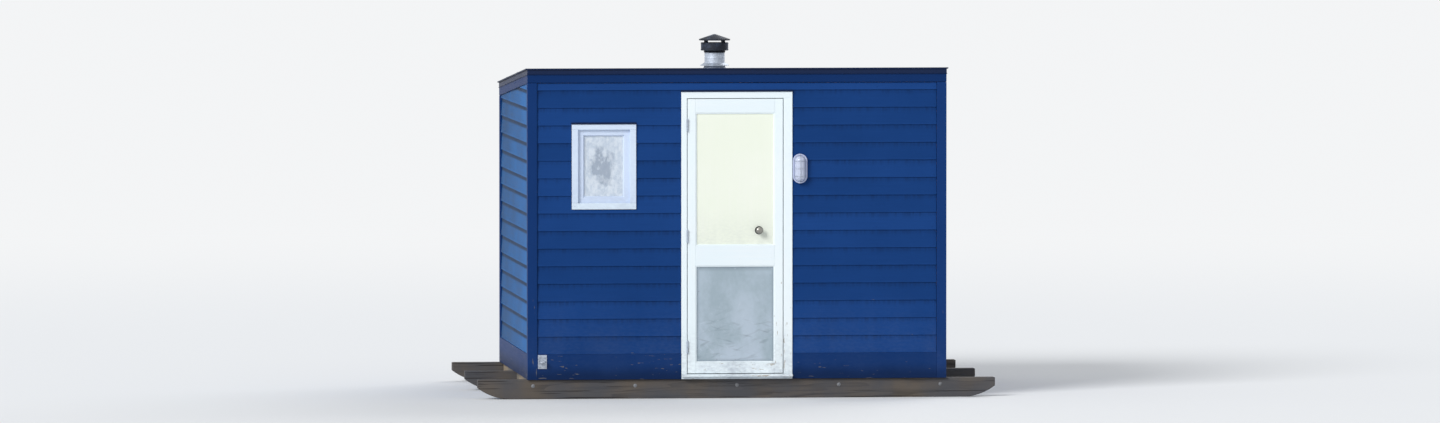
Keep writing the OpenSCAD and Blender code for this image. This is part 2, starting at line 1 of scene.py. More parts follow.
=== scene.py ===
import bmesh
import bpy
import numpy as np
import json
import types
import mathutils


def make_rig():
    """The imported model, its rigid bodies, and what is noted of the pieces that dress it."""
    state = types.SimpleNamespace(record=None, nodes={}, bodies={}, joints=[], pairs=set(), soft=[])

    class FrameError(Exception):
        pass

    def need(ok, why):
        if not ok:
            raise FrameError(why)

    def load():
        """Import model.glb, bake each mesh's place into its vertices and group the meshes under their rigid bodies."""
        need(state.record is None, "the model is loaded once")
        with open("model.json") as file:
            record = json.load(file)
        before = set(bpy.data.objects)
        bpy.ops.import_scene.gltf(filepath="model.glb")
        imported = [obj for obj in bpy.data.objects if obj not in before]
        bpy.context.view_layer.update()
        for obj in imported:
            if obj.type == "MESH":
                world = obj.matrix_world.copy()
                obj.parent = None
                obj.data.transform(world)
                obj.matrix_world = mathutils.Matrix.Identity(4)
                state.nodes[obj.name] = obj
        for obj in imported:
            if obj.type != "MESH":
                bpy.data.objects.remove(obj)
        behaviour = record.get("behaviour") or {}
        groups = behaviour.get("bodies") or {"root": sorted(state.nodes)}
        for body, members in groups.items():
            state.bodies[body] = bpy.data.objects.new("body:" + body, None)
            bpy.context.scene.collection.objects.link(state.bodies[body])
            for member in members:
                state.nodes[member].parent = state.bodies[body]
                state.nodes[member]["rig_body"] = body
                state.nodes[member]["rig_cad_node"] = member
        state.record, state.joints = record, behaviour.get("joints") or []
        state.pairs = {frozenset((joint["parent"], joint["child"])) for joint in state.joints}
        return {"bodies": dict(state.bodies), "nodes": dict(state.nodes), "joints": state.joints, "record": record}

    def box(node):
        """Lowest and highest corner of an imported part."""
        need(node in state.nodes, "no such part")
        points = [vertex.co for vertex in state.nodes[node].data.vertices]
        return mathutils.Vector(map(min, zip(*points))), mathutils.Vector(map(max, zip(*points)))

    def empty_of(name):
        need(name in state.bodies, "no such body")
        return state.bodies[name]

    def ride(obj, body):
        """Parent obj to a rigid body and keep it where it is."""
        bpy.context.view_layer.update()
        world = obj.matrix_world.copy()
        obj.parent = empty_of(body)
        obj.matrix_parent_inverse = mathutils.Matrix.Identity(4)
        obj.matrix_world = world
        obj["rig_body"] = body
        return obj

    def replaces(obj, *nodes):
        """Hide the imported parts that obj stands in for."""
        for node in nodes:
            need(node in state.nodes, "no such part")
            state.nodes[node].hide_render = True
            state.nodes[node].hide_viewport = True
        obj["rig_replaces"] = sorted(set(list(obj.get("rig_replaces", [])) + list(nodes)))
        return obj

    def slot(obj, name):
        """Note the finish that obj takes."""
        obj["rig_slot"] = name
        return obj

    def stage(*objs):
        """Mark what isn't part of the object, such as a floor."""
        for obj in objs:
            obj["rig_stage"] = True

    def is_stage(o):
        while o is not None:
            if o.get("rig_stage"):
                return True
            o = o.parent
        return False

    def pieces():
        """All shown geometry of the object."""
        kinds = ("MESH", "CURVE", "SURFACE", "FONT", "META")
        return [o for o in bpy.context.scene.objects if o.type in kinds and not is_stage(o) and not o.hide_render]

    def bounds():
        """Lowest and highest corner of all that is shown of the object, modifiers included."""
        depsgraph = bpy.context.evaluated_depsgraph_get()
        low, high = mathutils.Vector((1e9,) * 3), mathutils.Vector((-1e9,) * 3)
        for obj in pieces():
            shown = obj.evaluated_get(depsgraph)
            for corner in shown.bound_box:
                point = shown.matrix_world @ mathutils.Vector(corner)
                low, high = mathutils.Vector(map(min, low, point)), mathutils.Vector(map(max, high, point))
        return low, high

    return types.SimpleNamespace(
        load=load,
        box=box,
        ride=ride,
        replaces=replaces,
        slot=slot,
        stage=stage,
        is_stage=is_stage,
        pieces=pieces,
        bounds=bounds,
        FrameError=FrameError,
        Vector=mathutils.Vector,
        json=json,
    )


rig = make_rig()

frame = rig.load()
cad_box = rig.bounds()
slots = {part["node"]: part["material_slot"] for part in frame["record"]["subparts"]}


# Skids: three treated softwood timbers, sawn to a curve at both ends like the runners of a sledge. They are
# left rough and have weathered dark, with checks along the grain and growth rings on the end grain. Domed
# bolts, one for each cross bearer, hold the outer skids to the floor frame.


class Value:
    """A number that varies over a surface, held by a node's output. Each operator adds one Math node."""

    def __init__(self, finish, socket):
        self.finish = finish
        self.socket = socket

    def math(self, operation, *others):
        """The Math node of that name, with this number as its first input."""
        return self.finish.add("Math", dict(enumerate((self, *others))), operation=operation)

    def __add__(self, other):
        return self.math("ADD", other)

    def __sub__(self, other):
        return self.math("SUBTRACT", other)

    def __rsub__(self, other):
        return self.finish.add("Math", {0: other, 1: self}, operation="SUBTRACT")

    def __mul__(self, other):
        return self.math("MULTIPLY", other)

    def __truediv__(self, other):
        return self.math("DIVIDE", other)

    __radd__ = __add__
    __rmul__ = __mul__

    def rise(self, start, end):
        """0 at start, 1 at end and smooth between; start may be the higher number."""
        return self.finish.add("MapRange", {0: self, 1: start, 2: end}, interpolation_type="SMOOTHSTEP")

    def diagonal(self, other):
        """Distance from the point where this number and the other one are 0."""
        return (self * self + other * other).math("SQRT")


class Finish:
    """A paint, timber, sheet or glass: a material whose nodes are added one at a time."""

    def __init__(self, name, kept_in=bpy.data.materials):
        self.material = kept_in.new(name)
        self.material.use_nodes = True
        self.tree = self.material.node_tree
        self.tree.nodes.clear()
        self.place = self.add("TexCoord", out="Object")

    def add(self, kind, sockets=None, out=0, **settings):
        """Adds a node: its settings first, then its sockets' values or links. Gives back one output."""
        node = self.tree.nodes.new("ShaderNode" + kind)
        for name, value in settings.items():
            setattr(node, name, value)
        for name, value in (sockets or {}).items():
            if isinstance(value, Value):
                self.tree.links.new(value.socket, node.inputs[name])
            else:
                node.inputs[name].default_value = value
        return Value(self, node.outputs[out]) if len(node.outputs) else None

    def axes(self):
        """The surface point's x, y and z, in metres."""
        first = self.add("SeparateXYZ", {0: self.place})
        return [Value(self, socket) for socket in first.socket.node.outputs]

    def board(self):
        """The tone that the mesh gives to each of its boards, from 0 to 1."""
        return self.add("Attribute", out="Fac", attribute_name="board")

    def noise(self, cells, detail=2.0, shift=0.0):
        """Soft noise from 0 to 1, with this many cells to the metre: one number, or one for each axis."""
        cells = cells if isinstance(cells, tuple) else (cells,) * 3
        spread = self.add("Mapping", {0: self.place, 1: (shift,) * 3, 3: cells})
        return self.add("TexNoise", {"Vector": spread, "Scale": 1.0, "Detail": detail})

    def grain(self, along, long, short, detail=2.0, shift=0.0):
        """Noise drawn out along one axis, with long cells to the metre along it and short ones across."""
        return self.noise(tuple(long if axis == along else short for axis in "xyz"), detail, shift)

    def mix(self, colour, *coats):
        """A colour under coats of (colour, share), laid on in turn; a share of 1 covers what is below."""
        for coat, share in coats:
            colour = self.add("Mix", {0: share, 6: colour, 7: coat}, out=2, data_type="RGBA")
        return colour

    def done(self, colour, rough, height=None, depth=0.0, more=None):
        """Closes the finish with a Principled shader and gives back the material. The height, from 0 to 1,
        stands this many metres out of the surface."""
        sockets = {"Base Color": colour, "Roughness": rough, **(more or {})}
        if height:
            sockets["Normal"] = self.add("Bump", {"Height": height, "Distance": depth, "Strength": 1.0})
        self.add("OutputMaterial", {"Surface": self.add("BsdfPrincipled", sockets)})
        return self.material


def code(red, green, blue):
    """A colour in the usual 0 to 255 numbers, as the linear values that a shader takes."""
    part = np.array([red, green, blue]) / 255
    return (*np.where(part <= 0.04045, part / 12.92, ((part + 0.055) / 1.055) ** 2.4).tolist(), 1.0)


def shaded(colour, share, lift=0.0, most=1.0):
    """A colour times share, plus lift, with no part over the most."""
    return (*(min(part * share + lift, most) for part in colour[:3]), 1.0)


def timber(name, light, dark, along, pith, rings=260, dull=0.7, depth=0.0003, weather=None, age=0.0):
    """Sawn timber. The growth rings stand round a pith line that runs along one axis: the distance from the
    line, bent by slow noise, is counted in rings, and each ring darkens outwards. Fibres run along the axis.
    The board's tone moves the pith from board to board. Weather is the colour that age turns it to."""
    wood = Finish(name)
    board = wood.board()
    side, rise = [axis for axis, letter in zip(wood.axes(), "xyz") if letter != along]
    bend = wood.grain(along, 0.7, 9)
    sway = wood.grain(along, 0.5, 5, 1, 7.3)
    side = side - pith[0] + (bend - 0.5) * 0.035 + board * 0.31
    rise = rise - pith[1] + (sway - 0.5) * 0.035 + board * 0.23
    ring = (side.diagonal(rise) * rings).math("FRACT")
    late = ring.rise(0.35, 0.95) * ring.rise(1.0, 0.97)
    fibre = wood.grain(along, 5, 420, 3, 2.1)
    streak = wood.grain(along, 0.9, 26, 3, 4.7)
    crack = wood.grain(along, 1.4, 130, 1, 9.1).rise(0.66, 0.70) * streak.rise(0.35, 0.5) * age
    tone = late * 0.45 + fibre * 0.3 + (streak - 0.5) * 0.9 + (board - 0.5) * 0.3
    colour = wood.mix(light, (dark, tone.rise(0.0, 1.0)))
    if weather:
        colour = wood.mix(colour, (weather, wood.noise(3, 4, 1.7).rise(0.3, 0.65) * 0.75))
    colour = wood.mix(colour, ((0.012, 0.01, 0.009, 1), crack))
    height = fibre * 0.5 + late * 0.5 - crack * 2.0
    return wood.done(colour, fibre * 0.15 + dull, height, depth, {"Specular IOR Level": 0.35})


def placed(mesh, finish, slot, body, stands_for=()):
    """Puts a mesh in the scene as a piece that rides on a body and hides the nodes that it stands for."""
    mesh.materials.append(finish)
    piece = bpy.data.objects.new(mesh.name, mesh)
    bpy.context.scene.collection.objects.link(piece)
    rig.ride(piece, body)
    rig.slot(piece, slot)
    if stands_for:
        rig.replaces(piece, *stands_for)
    return piece


def round_edges(piece, radius, steps=2):
    """Rounds the edges that turn by more than 30 degrees."""
    edge = piece.modifiers.new("rounded edges", "BEVEL")
    edge.width = radius
    edge.segments = steps
    edge.limit_method = "ANGLE"
    edge.angle_limit = np.radians(30)


def eased(node, finish, radius=0.002, body="hut"):
    """A copy of a CAD node that takes the node's place. Its loose triangles are merged into whole faces, and
    its sharp edges are rounded."""
    shape = bmesh.new()
    shape.from_mesh(frame["nodes"][node].data)
    bmesh.ops.remove_doubles(shape, verts=shape.verts, dist=1e-5)
    bmesh.ops.dissolve_limit(shape, angle_limit=np.radians(0.4), verts=shape.verts, edges=shape.edges)
    mesh = bpy.data.meshes.new(node + "_eased")
    shape.to_mesh(mesh)
    shape.free()
    if "custom_normal" in mesh.attributes:
        mesh.attributes.remove(mesh.attributes["custom_normal"])
    mesh.shade_flat()
    round_edges(placed(mesh, finish, slots[node], body, [node]), radius)


def grid(rows, columns, ring_rows=False, ring_columns=False):
    """Quads between neighbouring points of a grid; a ring joins its last row or column to its first."""
    i = np.arange(rows - (not ring_rows))[:, None]
    j = np.arange(columns - (not ring_columns))
    next_i, next_j = (i + 1) % rows, (j + 1) % columns
    corners = [i * columns + j, i * columns + next_j, next_i * columns + next_j, next_i * columns + j]
    return np.stack(corners, -1).reshape(-1, 4).tolist()


def swept(rows, ring=False):
    """A closed shape through rows of points, each row a closed outline. The first and last rows are its
    caps, or in a ring they are joined."""
    count, size = rows.shape[:2]
    faces = grid(count, size, ring, True)
    if not ring:
        faces += [list(range(size)), list(range((count - 1) * size, count * size))]
    return rows.reshape(-1, 3), faces


def circle(sides):
    """Evenly spaced angles, once round."""
    return np.linspace(0, 2 * np.pi, sides, endpoint=False)


def spun(radius, turn, height):
    """Points given by their radius and turn about the z axis, and their height."""
    return np.stack(np.broadcast_arrays(radius * np.cos(turn), radius * np.sin(turn), height), -1)


def turned(profile, sides, ring=False):
    """A profile of (radius, height) rows turned round the z axis, capped at its ends or closed as a ring."""
    radius, height = np.array(profile, float).T[..., None]
    return swept(spun(radius, circle(sides), height), ring)


def joined(*parts):
    """Several closed shapes as one mesh."""
    shifts = np.cumsum([0] + [len(corners) for corners, faces in parts])
    corners = np.concatenate([corners for corners, faces in parts])
    return corners, [[c + s for c in face] for (_, faces), s in zip(parts, shifts) for face in faces]


def repeated(shape, spots, facing):
    """Copies of a small shape at many spots. The shape looks along +z and its copies along facing: their
    axes are a level line, the cross product of facing and that line, and facing."""
    corners, faces = shape
    look = np.array(facing) / np.linalg.norm(facing)
    level = np.cross(look, [1, 0, 0] if abs(look[2]) > 0.9 else [0, 0, 1])
    level = level / np.linalg.norm(level)
    corners = corners @ np.stack([level, np.cross(look, level), look])
    return joined(*((corners + spot, faces) for spot in spots))


def made(name, shape, finish, slot, body="hut", stands_for=(), tones=None, smooth=None):
    """A new piece of closed shapes, with its faces turned outwards. Tones are a number for each corner, the
    same all over one board. Where faces meet at less than smooth degrees, they shade as one curve."""
    mesh = bpy.data.meshes.new(name)
    mesh.from_pydata(shape[0].tolist(), [], shape[1])
    turned_out = bmesh.new()
    turned_out.from_mesh(mesh)
    bmesh.ops.recalc_face_normals(turned_out, faces=turned_out.faces)
    turned_out.to_mesh(mesh)
    turned_out.free()
    if tones is not None:
        mesh.attributes.new("board", "FLOAT", "POINT").data.foreach_set("value", tones.astype(np.float32))
    if smooth:
        mesh.shade_smooth()
        mesh.set_sharp_from_angle(angle=np.radians(smooth))
    return placed(mesh, finish, slot, body, stands_for)


def metal(name, colour, shine, dull, spangle, grime, rust, soot=None):
    """Bare or dipped metal. Zinc's spangle is a random tone and gloss for each crystal, spread round the
    colour; grime is dull dirt in slow noise, rust small spots, and soot darkens it between two heights."""
    sheet = Finish(name)
    crystal = sheet.add("TexVoronoi", {"Vector": sheet.place, "Scale": 120.0}, out="Color")
    cloud = sheet.noise(9, 4)
    tone = (sheet.add("SeparateColor", {0: crystal}) - 0.5) * spangle + 0.5
    spots = sheet.noise(60, 3, 8.2).rise(0.66, 0.74) * cloud.rise(0.4, 0.6) * rust
    coats = [
        (shaded(colour, 1.2), tone),
        ((0.05, 0.047, 0.045, 1), cloud.rise(0.45, 0.75) * grime),
        (code(96, 52, 30), spots),
    ]
    rough = dull + cloud * 0.18 + spots * 0.3 + tone * 0.1
    if soot:
        black = sheet.axes()[2].rise(*soot) * (cloud * 0.6 + 0.55)
        coats.append(((0.013, 0.013, 0.015, 1), black.rise(0.1, 0.9)))
        rough = rough + black * 0.3
    base = sheet.mix(shaded(colour, 0.76), *coats)
    height = sheet.noise(260, 2, 3.3) + cloud
    return sheet.done(base, rough, height, 0.0001, {"Metallic": (1 - spots) * shine})


skid_wood = timber(
    "weathered skid timber", code(92, 84, 76), code(43, 39, 37), "x", (0.013, 0.07), 190, 0.8, 0.0009,
    weather=code(70, 73, 80), age=1.0,
)
for name in ("skid_front", "skid_middle", "skid_rear"):
    eased(name, skid_wood, 0.005)

half_width, half_depth, deck_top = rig.box("floor_deck")[1]
skid_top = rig.box("floor_deck")[0].z
lumber, bolt_down = 0.038, 0.045
zinc = metal("dipped zinc", code(176, 184, 196), 0.75, 0.42, 0.7, 0.25, 0.3)
old_bolt = metal("weathered bolt", code(132, 134, 138), 0.5, 0.55, 0.3, 0.6, 0.9)
bolt_head = turned([
    (0.0138, 0), (0.0138, 0.0012), (0.011, 0.0014), (0.0095, 0.0036), (0.0055, 0.0054), (0.0012, 0.006),
], 20)
bearer_x = np.linspace(-1, 1, 5) * (half_width - lumber / 2)
bolts = [
    repeated(bolt_head, [(x, side * half_depth, skid_top - bolt_down) for x in bearer_x], (0, side, 0))
    for side in (-1, 1)
]
made("skid_bolts", joined(*bolts), old_bolt, "zinc_steel", smooth=40)


# Floor: planed softwood bearers between the skids, and a deck of three plywood sheets screwed down on them.
# The sheets butt with a narrow gap, and the inside of the door is where the plywood is trodden darkest.

damp_wood = timber(
    "damp bearer softwood", code(146, 132, 112), code(92, 78, 62), "y", (0.03, 0.02), depth=0.0005,
    weather=code(98, 97, 95), age=0.6,
)
eased("floor_bearers", damp_wood, 0.003)


def plywood(name, light, dark, worn=0.0):
    """Rotary-cut plywood: long, wandering veneer figure along x, from noise folded over itself, with pale
    and dark bands where the knife passed through the rings. Scuffs thin out away from the doorway."""
    sheet = Finish(name)
    figure = (sheet.grain("x", 1.1, 11, 3) * 9).math("FRACT")
    band = figure.rise(0.1, 0.8) * figure.rise(1.0, 0.85)
    fibre = sheet.grain("x", 7, 480, 2, 5.0)
    colour = sheet.mix(light, (dark, band * 0.5 + fibre * 0.25 + sheet.board() * 0.2))
    scuff = sheet.noise(4, 5, 2.0)
    if worn:
        x, y, z = sheet.axes()
        walk = x.diagonal(y + half_depth) + (scuff - 0.5) * 1.2
        dirt = (scuff * 0.6 + sheet.noise(40, 4, 5.0) * 0.4).rise(0.38, 0.62)
        colour = sheet.mix(colour, (code(92, 82, 72), dirt * (walk.rise(2.0, 0.3) * 0.8 + 0.15) * worn))
    return sheet.done(colour, scuff * 0.2 + 0.5, fibre + band * 0.5, 0.0002)


def boards(cuts, back, front, rng):
    """Closed boards sawn to flat outlines. Each cut is (outline, low): the outline's rows are (along, up),
    and back and front are how far those faces stand out at the height low and how much they lean per metre
    above it. Gives the shape, in (along, out, up) rows, and a random tone for each corner, one a board."""
    shapes, tones = [], []
    for outline, low in cuts:
        along, up = np.array(outline, float).T
        faces = [np.column_stack([along, out + lean * (up - low), up]) for out, lean in (back, front)]
        shapes.append(swept(np.stack(faces)))
        tones.append(np.full(2 * len(along), rng.random()))
    return joined(*shapes), np.concatenate(tones)


def oblong(left, right, low, high):
    """The four corners of an oblong outline."""
    return [(left, low), (right, low), (right, high), (left, high)]


whole_sheet, offcut, half_joint = 1.22, 0.56, 0.001
sheet_ends = [-half_width, -half_width + whole_sheet, half_width - offcut, half_width]
cuts = [
    (oblong(left + half_joint, right - half_joint, -half_depth, half_depth), 0)
    for left, right in zip(sheet_ends, sheet_ends[1:])
]
(corners, faces), tones = boards(cuts, (skid_top, 0), (deck_top, 0), np.random.default_rng(4))
trodden = plywood("trodden plywood", code(196, 160, 112), code(150, 112, 70), 0.8)
lying = corners[:, [0, 2, 1]], faces
deck = made("deck_sheets", lying, trodden, "plywood", stands_for=["floor_deck"], tones=tones)
round_edges(deck, 0.001, 1)
screw_head = turned([(0.0042, -0.0002), (0.0042, 0.0003), (0.0018, 0.0004), (0.0012, 0.0001)], 10)
screw_y = np.linspace(-1.09, 1.09, 12)
screws = [(x, y, deck_top) for y in screw_y for x in bearer_x]
made("deck_screws", repeated(screw_head, screws, (0, 0, 1)), zinc, "zinc_steel")


# Wall panels: framed and insulated, with a lining of clear-finished softwood boards inside, tongued together
# with a small V at each joint. They stand on the deck, and the front is parted beside and over the door.

strip_width = 0.092
lining = Finish("clear-finished lining")
x, y, z = lining.axes()
strip = (x + y) / strip_width
own = lining.add("TexWhiteNoise", {"W": strip.math("FLOOR")}, noise_dimensions="1D")
joint = (strip.math("FRACT") - 0.5).math("ABSOLUTE").rise(0.46, 0.5)
figure = ((lining.grain("z", 0.6, 9, 3) + own * 3) * 7).math("FRACT")
late = figure.rise(0.2, 0.85) * figure.rise(1.0, 0.9)
fibre = lining.grain("z", 6, 420, 2, 1.0)
spread = lining.add("Mapping", {0: lining.place, 3: (6, 6, 2.4)})
knot = lining.add("TexVoronoi", {"Vector": spread, "Scale": 1.0}).rise(0.07, 0.03)
wood = lining.mix(
    code(214, 178, 126),
    (code(176, 128, 76), late * 0.6 + fibre * 0.2 + own * 0.3 - 0.1),
    (code(96, 58, 34), knot * 0.85),
    (code(82, 56, 34), joint * 0.8),
)
pine = lining.done(wood, fibre * 0.15 + 0.42, fibre * 0.06 + late * 0.05 - joint, 0.002)


def coat(finish, *nodes):
    """Gives CAD nodes whose shape is right their finish."""
    for node in nodes:
        mesh = frame["nodes"][node].data
        mesh.materials.clear()
        mesh.materials.append(finish)


coat(pine, "front_wall_left", "front_wall_right", "front_wall_header", "left_wall", "right_wall", "rear_wall")


# Lap siding: tapered softwood boards, painted dark blue, each lapping the one below so that 127 mm shows.
# They are sawn out round the door and window, cut to the roof's slope on the side walls, and face-nailed
# near the lower edge at each stud. The nails are painted over.

exposure = 0.127
board_height = 0.150
board_back = (0.0066, -0.044)
board_front = (0.0140, -0.060)
joint_gap, corner_gap, top_gap, base_gap = 0.0016, 0.0015, 0.0012, 0.0006
least_course = 0.012
course_slack, nail_slack = 0.0004, 0.006
trim = 0.022
leg = 0.070
base_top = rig.box("base_boards")[1].z
corner_in = half_width + trim - leg, half_depth + trim - leg
rafter_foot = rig.box("roof_rafters")[0].z
pitch = np.radians(3.9)
fall = np.tan(pitch)
outwards = {"front": (0, -1, 0), "rear": (0, 1, 0), "left": (-1, 0, 0), "right": (1, 0, 0)}


def under(y):
    """Height of the underside of the rafters at depth y, which falls evenly to the back."""
    return rafter_foot + (half_depth - y) * fall


def against(points, wall="front"):
    """Stands (along, out, up) rows on the outside of a wall, as x, y, z. Along runs right or back."""
    look = np.array(outwards[wall])
    face = np.abs(look) @ (half_width, half_depth, 0) * look
    return np.array(points) @ [np.abs(look[[1, 0, 2]]), look, (0, 0, 1)] + face


def on_wall(shape, wall="front"):
    """A shape of (along, out, up) corners, stood on the outside of a wall."""
    return against(shape[0], wall), shape[1]


def driven(head, spots, wall="front"):
    """A nail's or a screw's head at each (along, out, up) spot of a wall."""
    return repeated(head, against(spots, wall), outwards[wall])


def span(node, inset=0.0):
    """A node's left, right, low and high edges, seen from the front, each drawn in by the inset."""
    low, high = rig.box(node)
    return low.x + inset, high.x - inset, low.z + inset, high.z - inset


def sawn_round(left, right, low, high, gaps):
    """Outlines of the boards that fill a course. A gap (left, right, low, high) that spans the course's
    height parts it; any other one is notched out of its upper or lower edge."""
    through = sorted(g for g in gaps if g[2] <= low and g[3] >= high)
    starts = [left] + [g[1] for g in through]
    ends = [g[0] for g in through] + [right]
    cuts = []
    for start, end in zip(starts, ends):
        inside = sorted(g for g in gaps if g not in through and start < g[0] and g[1] < end)
        edge = [(start, low)]
        for a, b, foot, head in inside:
            if foot <= low < head:
                edge += [(a, low), (a, head), (b, head), (b, low)]
        edge += [(end, low), (end, high)]
        for a, b, foot, head in reversed(inside):
            if foot < high <= head:
                edge += [(b, high), (b, foot), (a, foot), (a, high)]
        cuts.append(edge + [(start, high)])
    return cuts


def sawn_to_slope(left, right, low, high, play=0.001, least=0.0005):
    """The outline of a side wall's board under the roof: where the slope passes its edges, it is cut to it,
    less the play. Nothing is left of a board shorter than 20 mm."""
    at = [float(np.clip(half_depth - (z - play - rafter_foot) / fall, left, right)) for z in (low, high)]
    top = [min(high, under(y) - play) for y in (*at, left)]
    if at[0] - left < 0.02:
        return []
    return [[(left, low), (at[0], low), (at[0], max(top[0], low + least)), (at[1], top[1]), (left, top[2])]]


play = 0.002
unit_left, unit_right, sill_top, head_z = span("door_side_casings")
door_gap = (unit_left - play, unit_right + play, 0.0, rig.box("door_head_casing")[1].z + play)
window_gap = span("window_casing", -play)
studs = {"front": np.arange(-1.43, 1.45, 0.408), "left": np.arange(-1.13, 1.15, 0.3766)}
studs["rear"], studs["right"] = studs["front"], studs["left"]


def painted(
    name, colour, cells, gloss, fade, grime=0.3, low=0.0, chips=0.0, bare=None, laps=0.0, shine=0.4, damp=0.0
):
    """Brushed house paint over wood. Brush marks are noise with this many cells to the metre along x, y and
    z; the tone varies from board to board and fades in slow noise. Grime gathers on the lowest 0.5 m above
    the height low, and chips show the bare wood there. For lapped boards, the height over a board's butt,
    as a share of the exposure, puts the chips at the butts and drip stains below the laps, and a lap
    strength paints shade in a band under each lap. A darkening share darkens the lowest 0.12 m, up to an
    uneven edge."""
    skin = Finish(name)
    brush = skin.noise(cells, 3)
    cloud = skin.noise((1.7, 1.7, 2.3), 4, 3.0)
    drift = skin.noise((5, 5, 2), 3, 11.0)
    height = skin.axes()[2]
    rise = height - low
    pale = shaded(colour, 1 + 3 * fade, 0.05 * fade, 0.9)
    coats = [(pale, (cloud * 0.8 + brush * 0.4 + skin.board() * 0.5 - 0.4).rise(0.0, 1.0))]
    relief = brush * 0.6 + skin.noise(35, 2, 1.0) * 0.4
    if laps:
        over = ((height - base_top) / exposure).math("FRACT")
        run = skin.noise((60, 60, 2.5), 3, 5.0)
        # The second term is painted shade in a band under each lap; the first is drip stains below the laps.
        drip_stain_and_lap_shade = over.rise(0.55, 1.0) * run.rise(0.4, 0.7) * 0.3 + over.rise(0.72, 0.86) * (run + 0.5) * laps
        coats.append((shaded(colour, 0.32), drip_stain_and_lap_shade))
        coats.append((pale, over.rise(0.12, 0.0) * drift.rise(0.3, 0.7) * 0.6))
    dust = (skin.noise((34, 34, 70), 5, 6.0) * 0.6 + drift * 0.7).rise(0.45, 0.95)
    coats.append((code(132, 142, 158), rise.rise(0.5, 0.0) * dust * grime))
    # Darker towards the bottom, over the lowest 0.12 m, up to an uneven edge.
    if damp:
        low_band = (rise + (drift - 0.5) * 0.06).rise(0.13, 0.02)
        coats.append((shaded(colour, 0.4), low_band * damp))
    if chips:
        spread = tuple(max(14, min(side * 0.5, 90)) for side in cells)
        wear = skin.noise(spread, 4, 12.0) + cloud * 0.3 + rise.rise(1.1, 0.0) * 0.12
        if laps:
            wear = wear - over.rise(0.02, 0.25) * 0.3
        flake = wear.rise(0.945, 0.96)
        coats.append((bare, flake * chips))
        relief = relief - flake * 0.8
    tone = skin.mix(shaded(colour, 1 - 1.2 * fade), *coats)
    rough = brush * 0.12 + cloud * 0.1 + gloss
    return skin.done(tone, rough, relief, 0.0002, {"Specular IOR Level": shine})


wear = {"grime": 0.06, "low": base_top, "chips": 0.9, "bare": code(104, 102, 100)}
# Both siding paints carry painted shade under the laps: faint on this one, strong on the left wall's.
siding_paint = painted(
    "dark blue siding paint", code(6, 54, 113), (2.5, 2.5, 170), 0.48, 0.08, laps=0.1, shine=0.13, **wear
)
# The left wall's paint is a lighter copy of the siding paint, standing in for sunlight on that side: painted sunlight.
sunlit_side_paint = painted(
    "faded blue siding paint", code(7, 76, 130), (2.5, 2.5, 170), 0.5, 0.26, laps=1.0, shine=0.1, **wear
)
nail_head = turned([(0.0033, -0.0004), (0.0033, 0.0004), (0.002, 0.0008)], 8)
nail_up = 0.022
rng = np.random.default_rng(20)
nails = []
for wall in outwards:
    level = wall in ("front", "rear")
    reach = corner_in[0 if level else 1] - corner_gap
    top = under({"front": -half_depth, "rear": half_depth}[wall]) - top_gap if level else under(-corner_in[1])
    gaps = [door_gap, window_gap] if wall == "front" else []
    cuts, spots = [], []
    for course, low in enumerate(np.arange(base_top + base_gap, top - least_course, exposure)):
        low = low + rng.uniform(-course_slack, course_slack)
        high = min(low + board_height, top)
        if wall == "rear":
            joint = studs[wall][(2, 5, 3, 6, 1, 4)[course % 6]]
            joints = [(joint - joint_gap / 2, joint + joint_gap / 2, low, high)]
            found = sawn_round(-reach, reach, low, high, joints)
        elif level:
            found = sawn_round(-reach, reach, low, high, gaps)
        else:
            found = sawn_to_slope(-reach, reach, low, low + board_height)
        cuts += [(outline, low) for outline in found]
        for stud in studs[wall]:
            at, up = stud + rng.uniform(-nail_slack, nail_slack), low + nail_up
            barred = any(g[0] - 0.015 < at < g[1] + 0.015 and g[2] - 0.02 < up < g[3] + 0.01 for g in gaps)
            if not barred and up < top - 0.01 and (level or up < under(stud) - 0.015):
                spots.append((at, board_front[0] + board_front[1] * nail_up, up))
    nails.append(driven(nail_head, spots, wall))
    shape, tones = boards(cuts, board_back, board_front, rng)
    # On the left wall the tone runs from light at the front corner to dark at the rear: a painted fall-off of sunlight
    # along that wall.
    if wall == "left":
        tones = 0.15 * tones + 0.5 - shape[0][:, 0] / (2 * reach) - 0.05
    siding = made(
        wall + "_lap_boards", on_wall(shape, wall), sunlit_side_paint if wall == "left" else siding_paint,
        "blue_siding", stands_for=[wall + "_siding"], tones=tones,
    )
    round_edges(siding, 0.0012)
made("siding_nails", joined(*nails), siding_paint, "blue_siding")


# Corner and base boards: square-edged boards in a slightly darker blue. At each corner a wide board on the
# front or back laps the edge of a narrow one on the side wall. The base boards cover the edge of the deck.

wear = {"low": skid_top, "chips": 0.8, "bare": code(100, 98, 96), "shine": 0.13}
# Both trim paints are darker towards the bottom of their boards.
trim_paint_up = painted(
    "dark blue trim, upright", code(5, 48, 104), (150, 150, 2.5), 0.45, 0.04, grime=0.06, damp=0.7, **wear
)
trim_paint = painted(
    "dark blue trim, level", code(4, 46, 100), (2.5, 2.5, 150), 0.45, 0.03, grime=0.03, damp=0.8, **wear
)
outer = half_width + trim
above_roof = 3.0
parts, tones = [], []
for wall in outwards:
    cuts = []
    for side in (-1, 1):
        if wall in ("front", "rear"):
            top = under(-half_depth if wall == "front" else half_depth + trim) - 0.0005
            outline = oblong(*sorted((side * outer, side * (outer - leg))), skid_top, top)
        else:
            ends = sorted((side * half_depth, side * corner_in[1]))
            outline = sawn_to_slope(*ends, skid_top, above_roof)[0]
        cuts.append((outline, 0))
    shape, tone = boards(cuts, (0, 0), (trim, 0), rng)
    parts.append(on_wall(shape, wall))
    tones.append(tone)
corners = made(
    "corner_trim", joined(*parts), trim_paint_up, "blue_trim",
    stands_for=["corner_boards"], tones=np.concatenate(tones),
)
round_edges(corners, 0.0025)
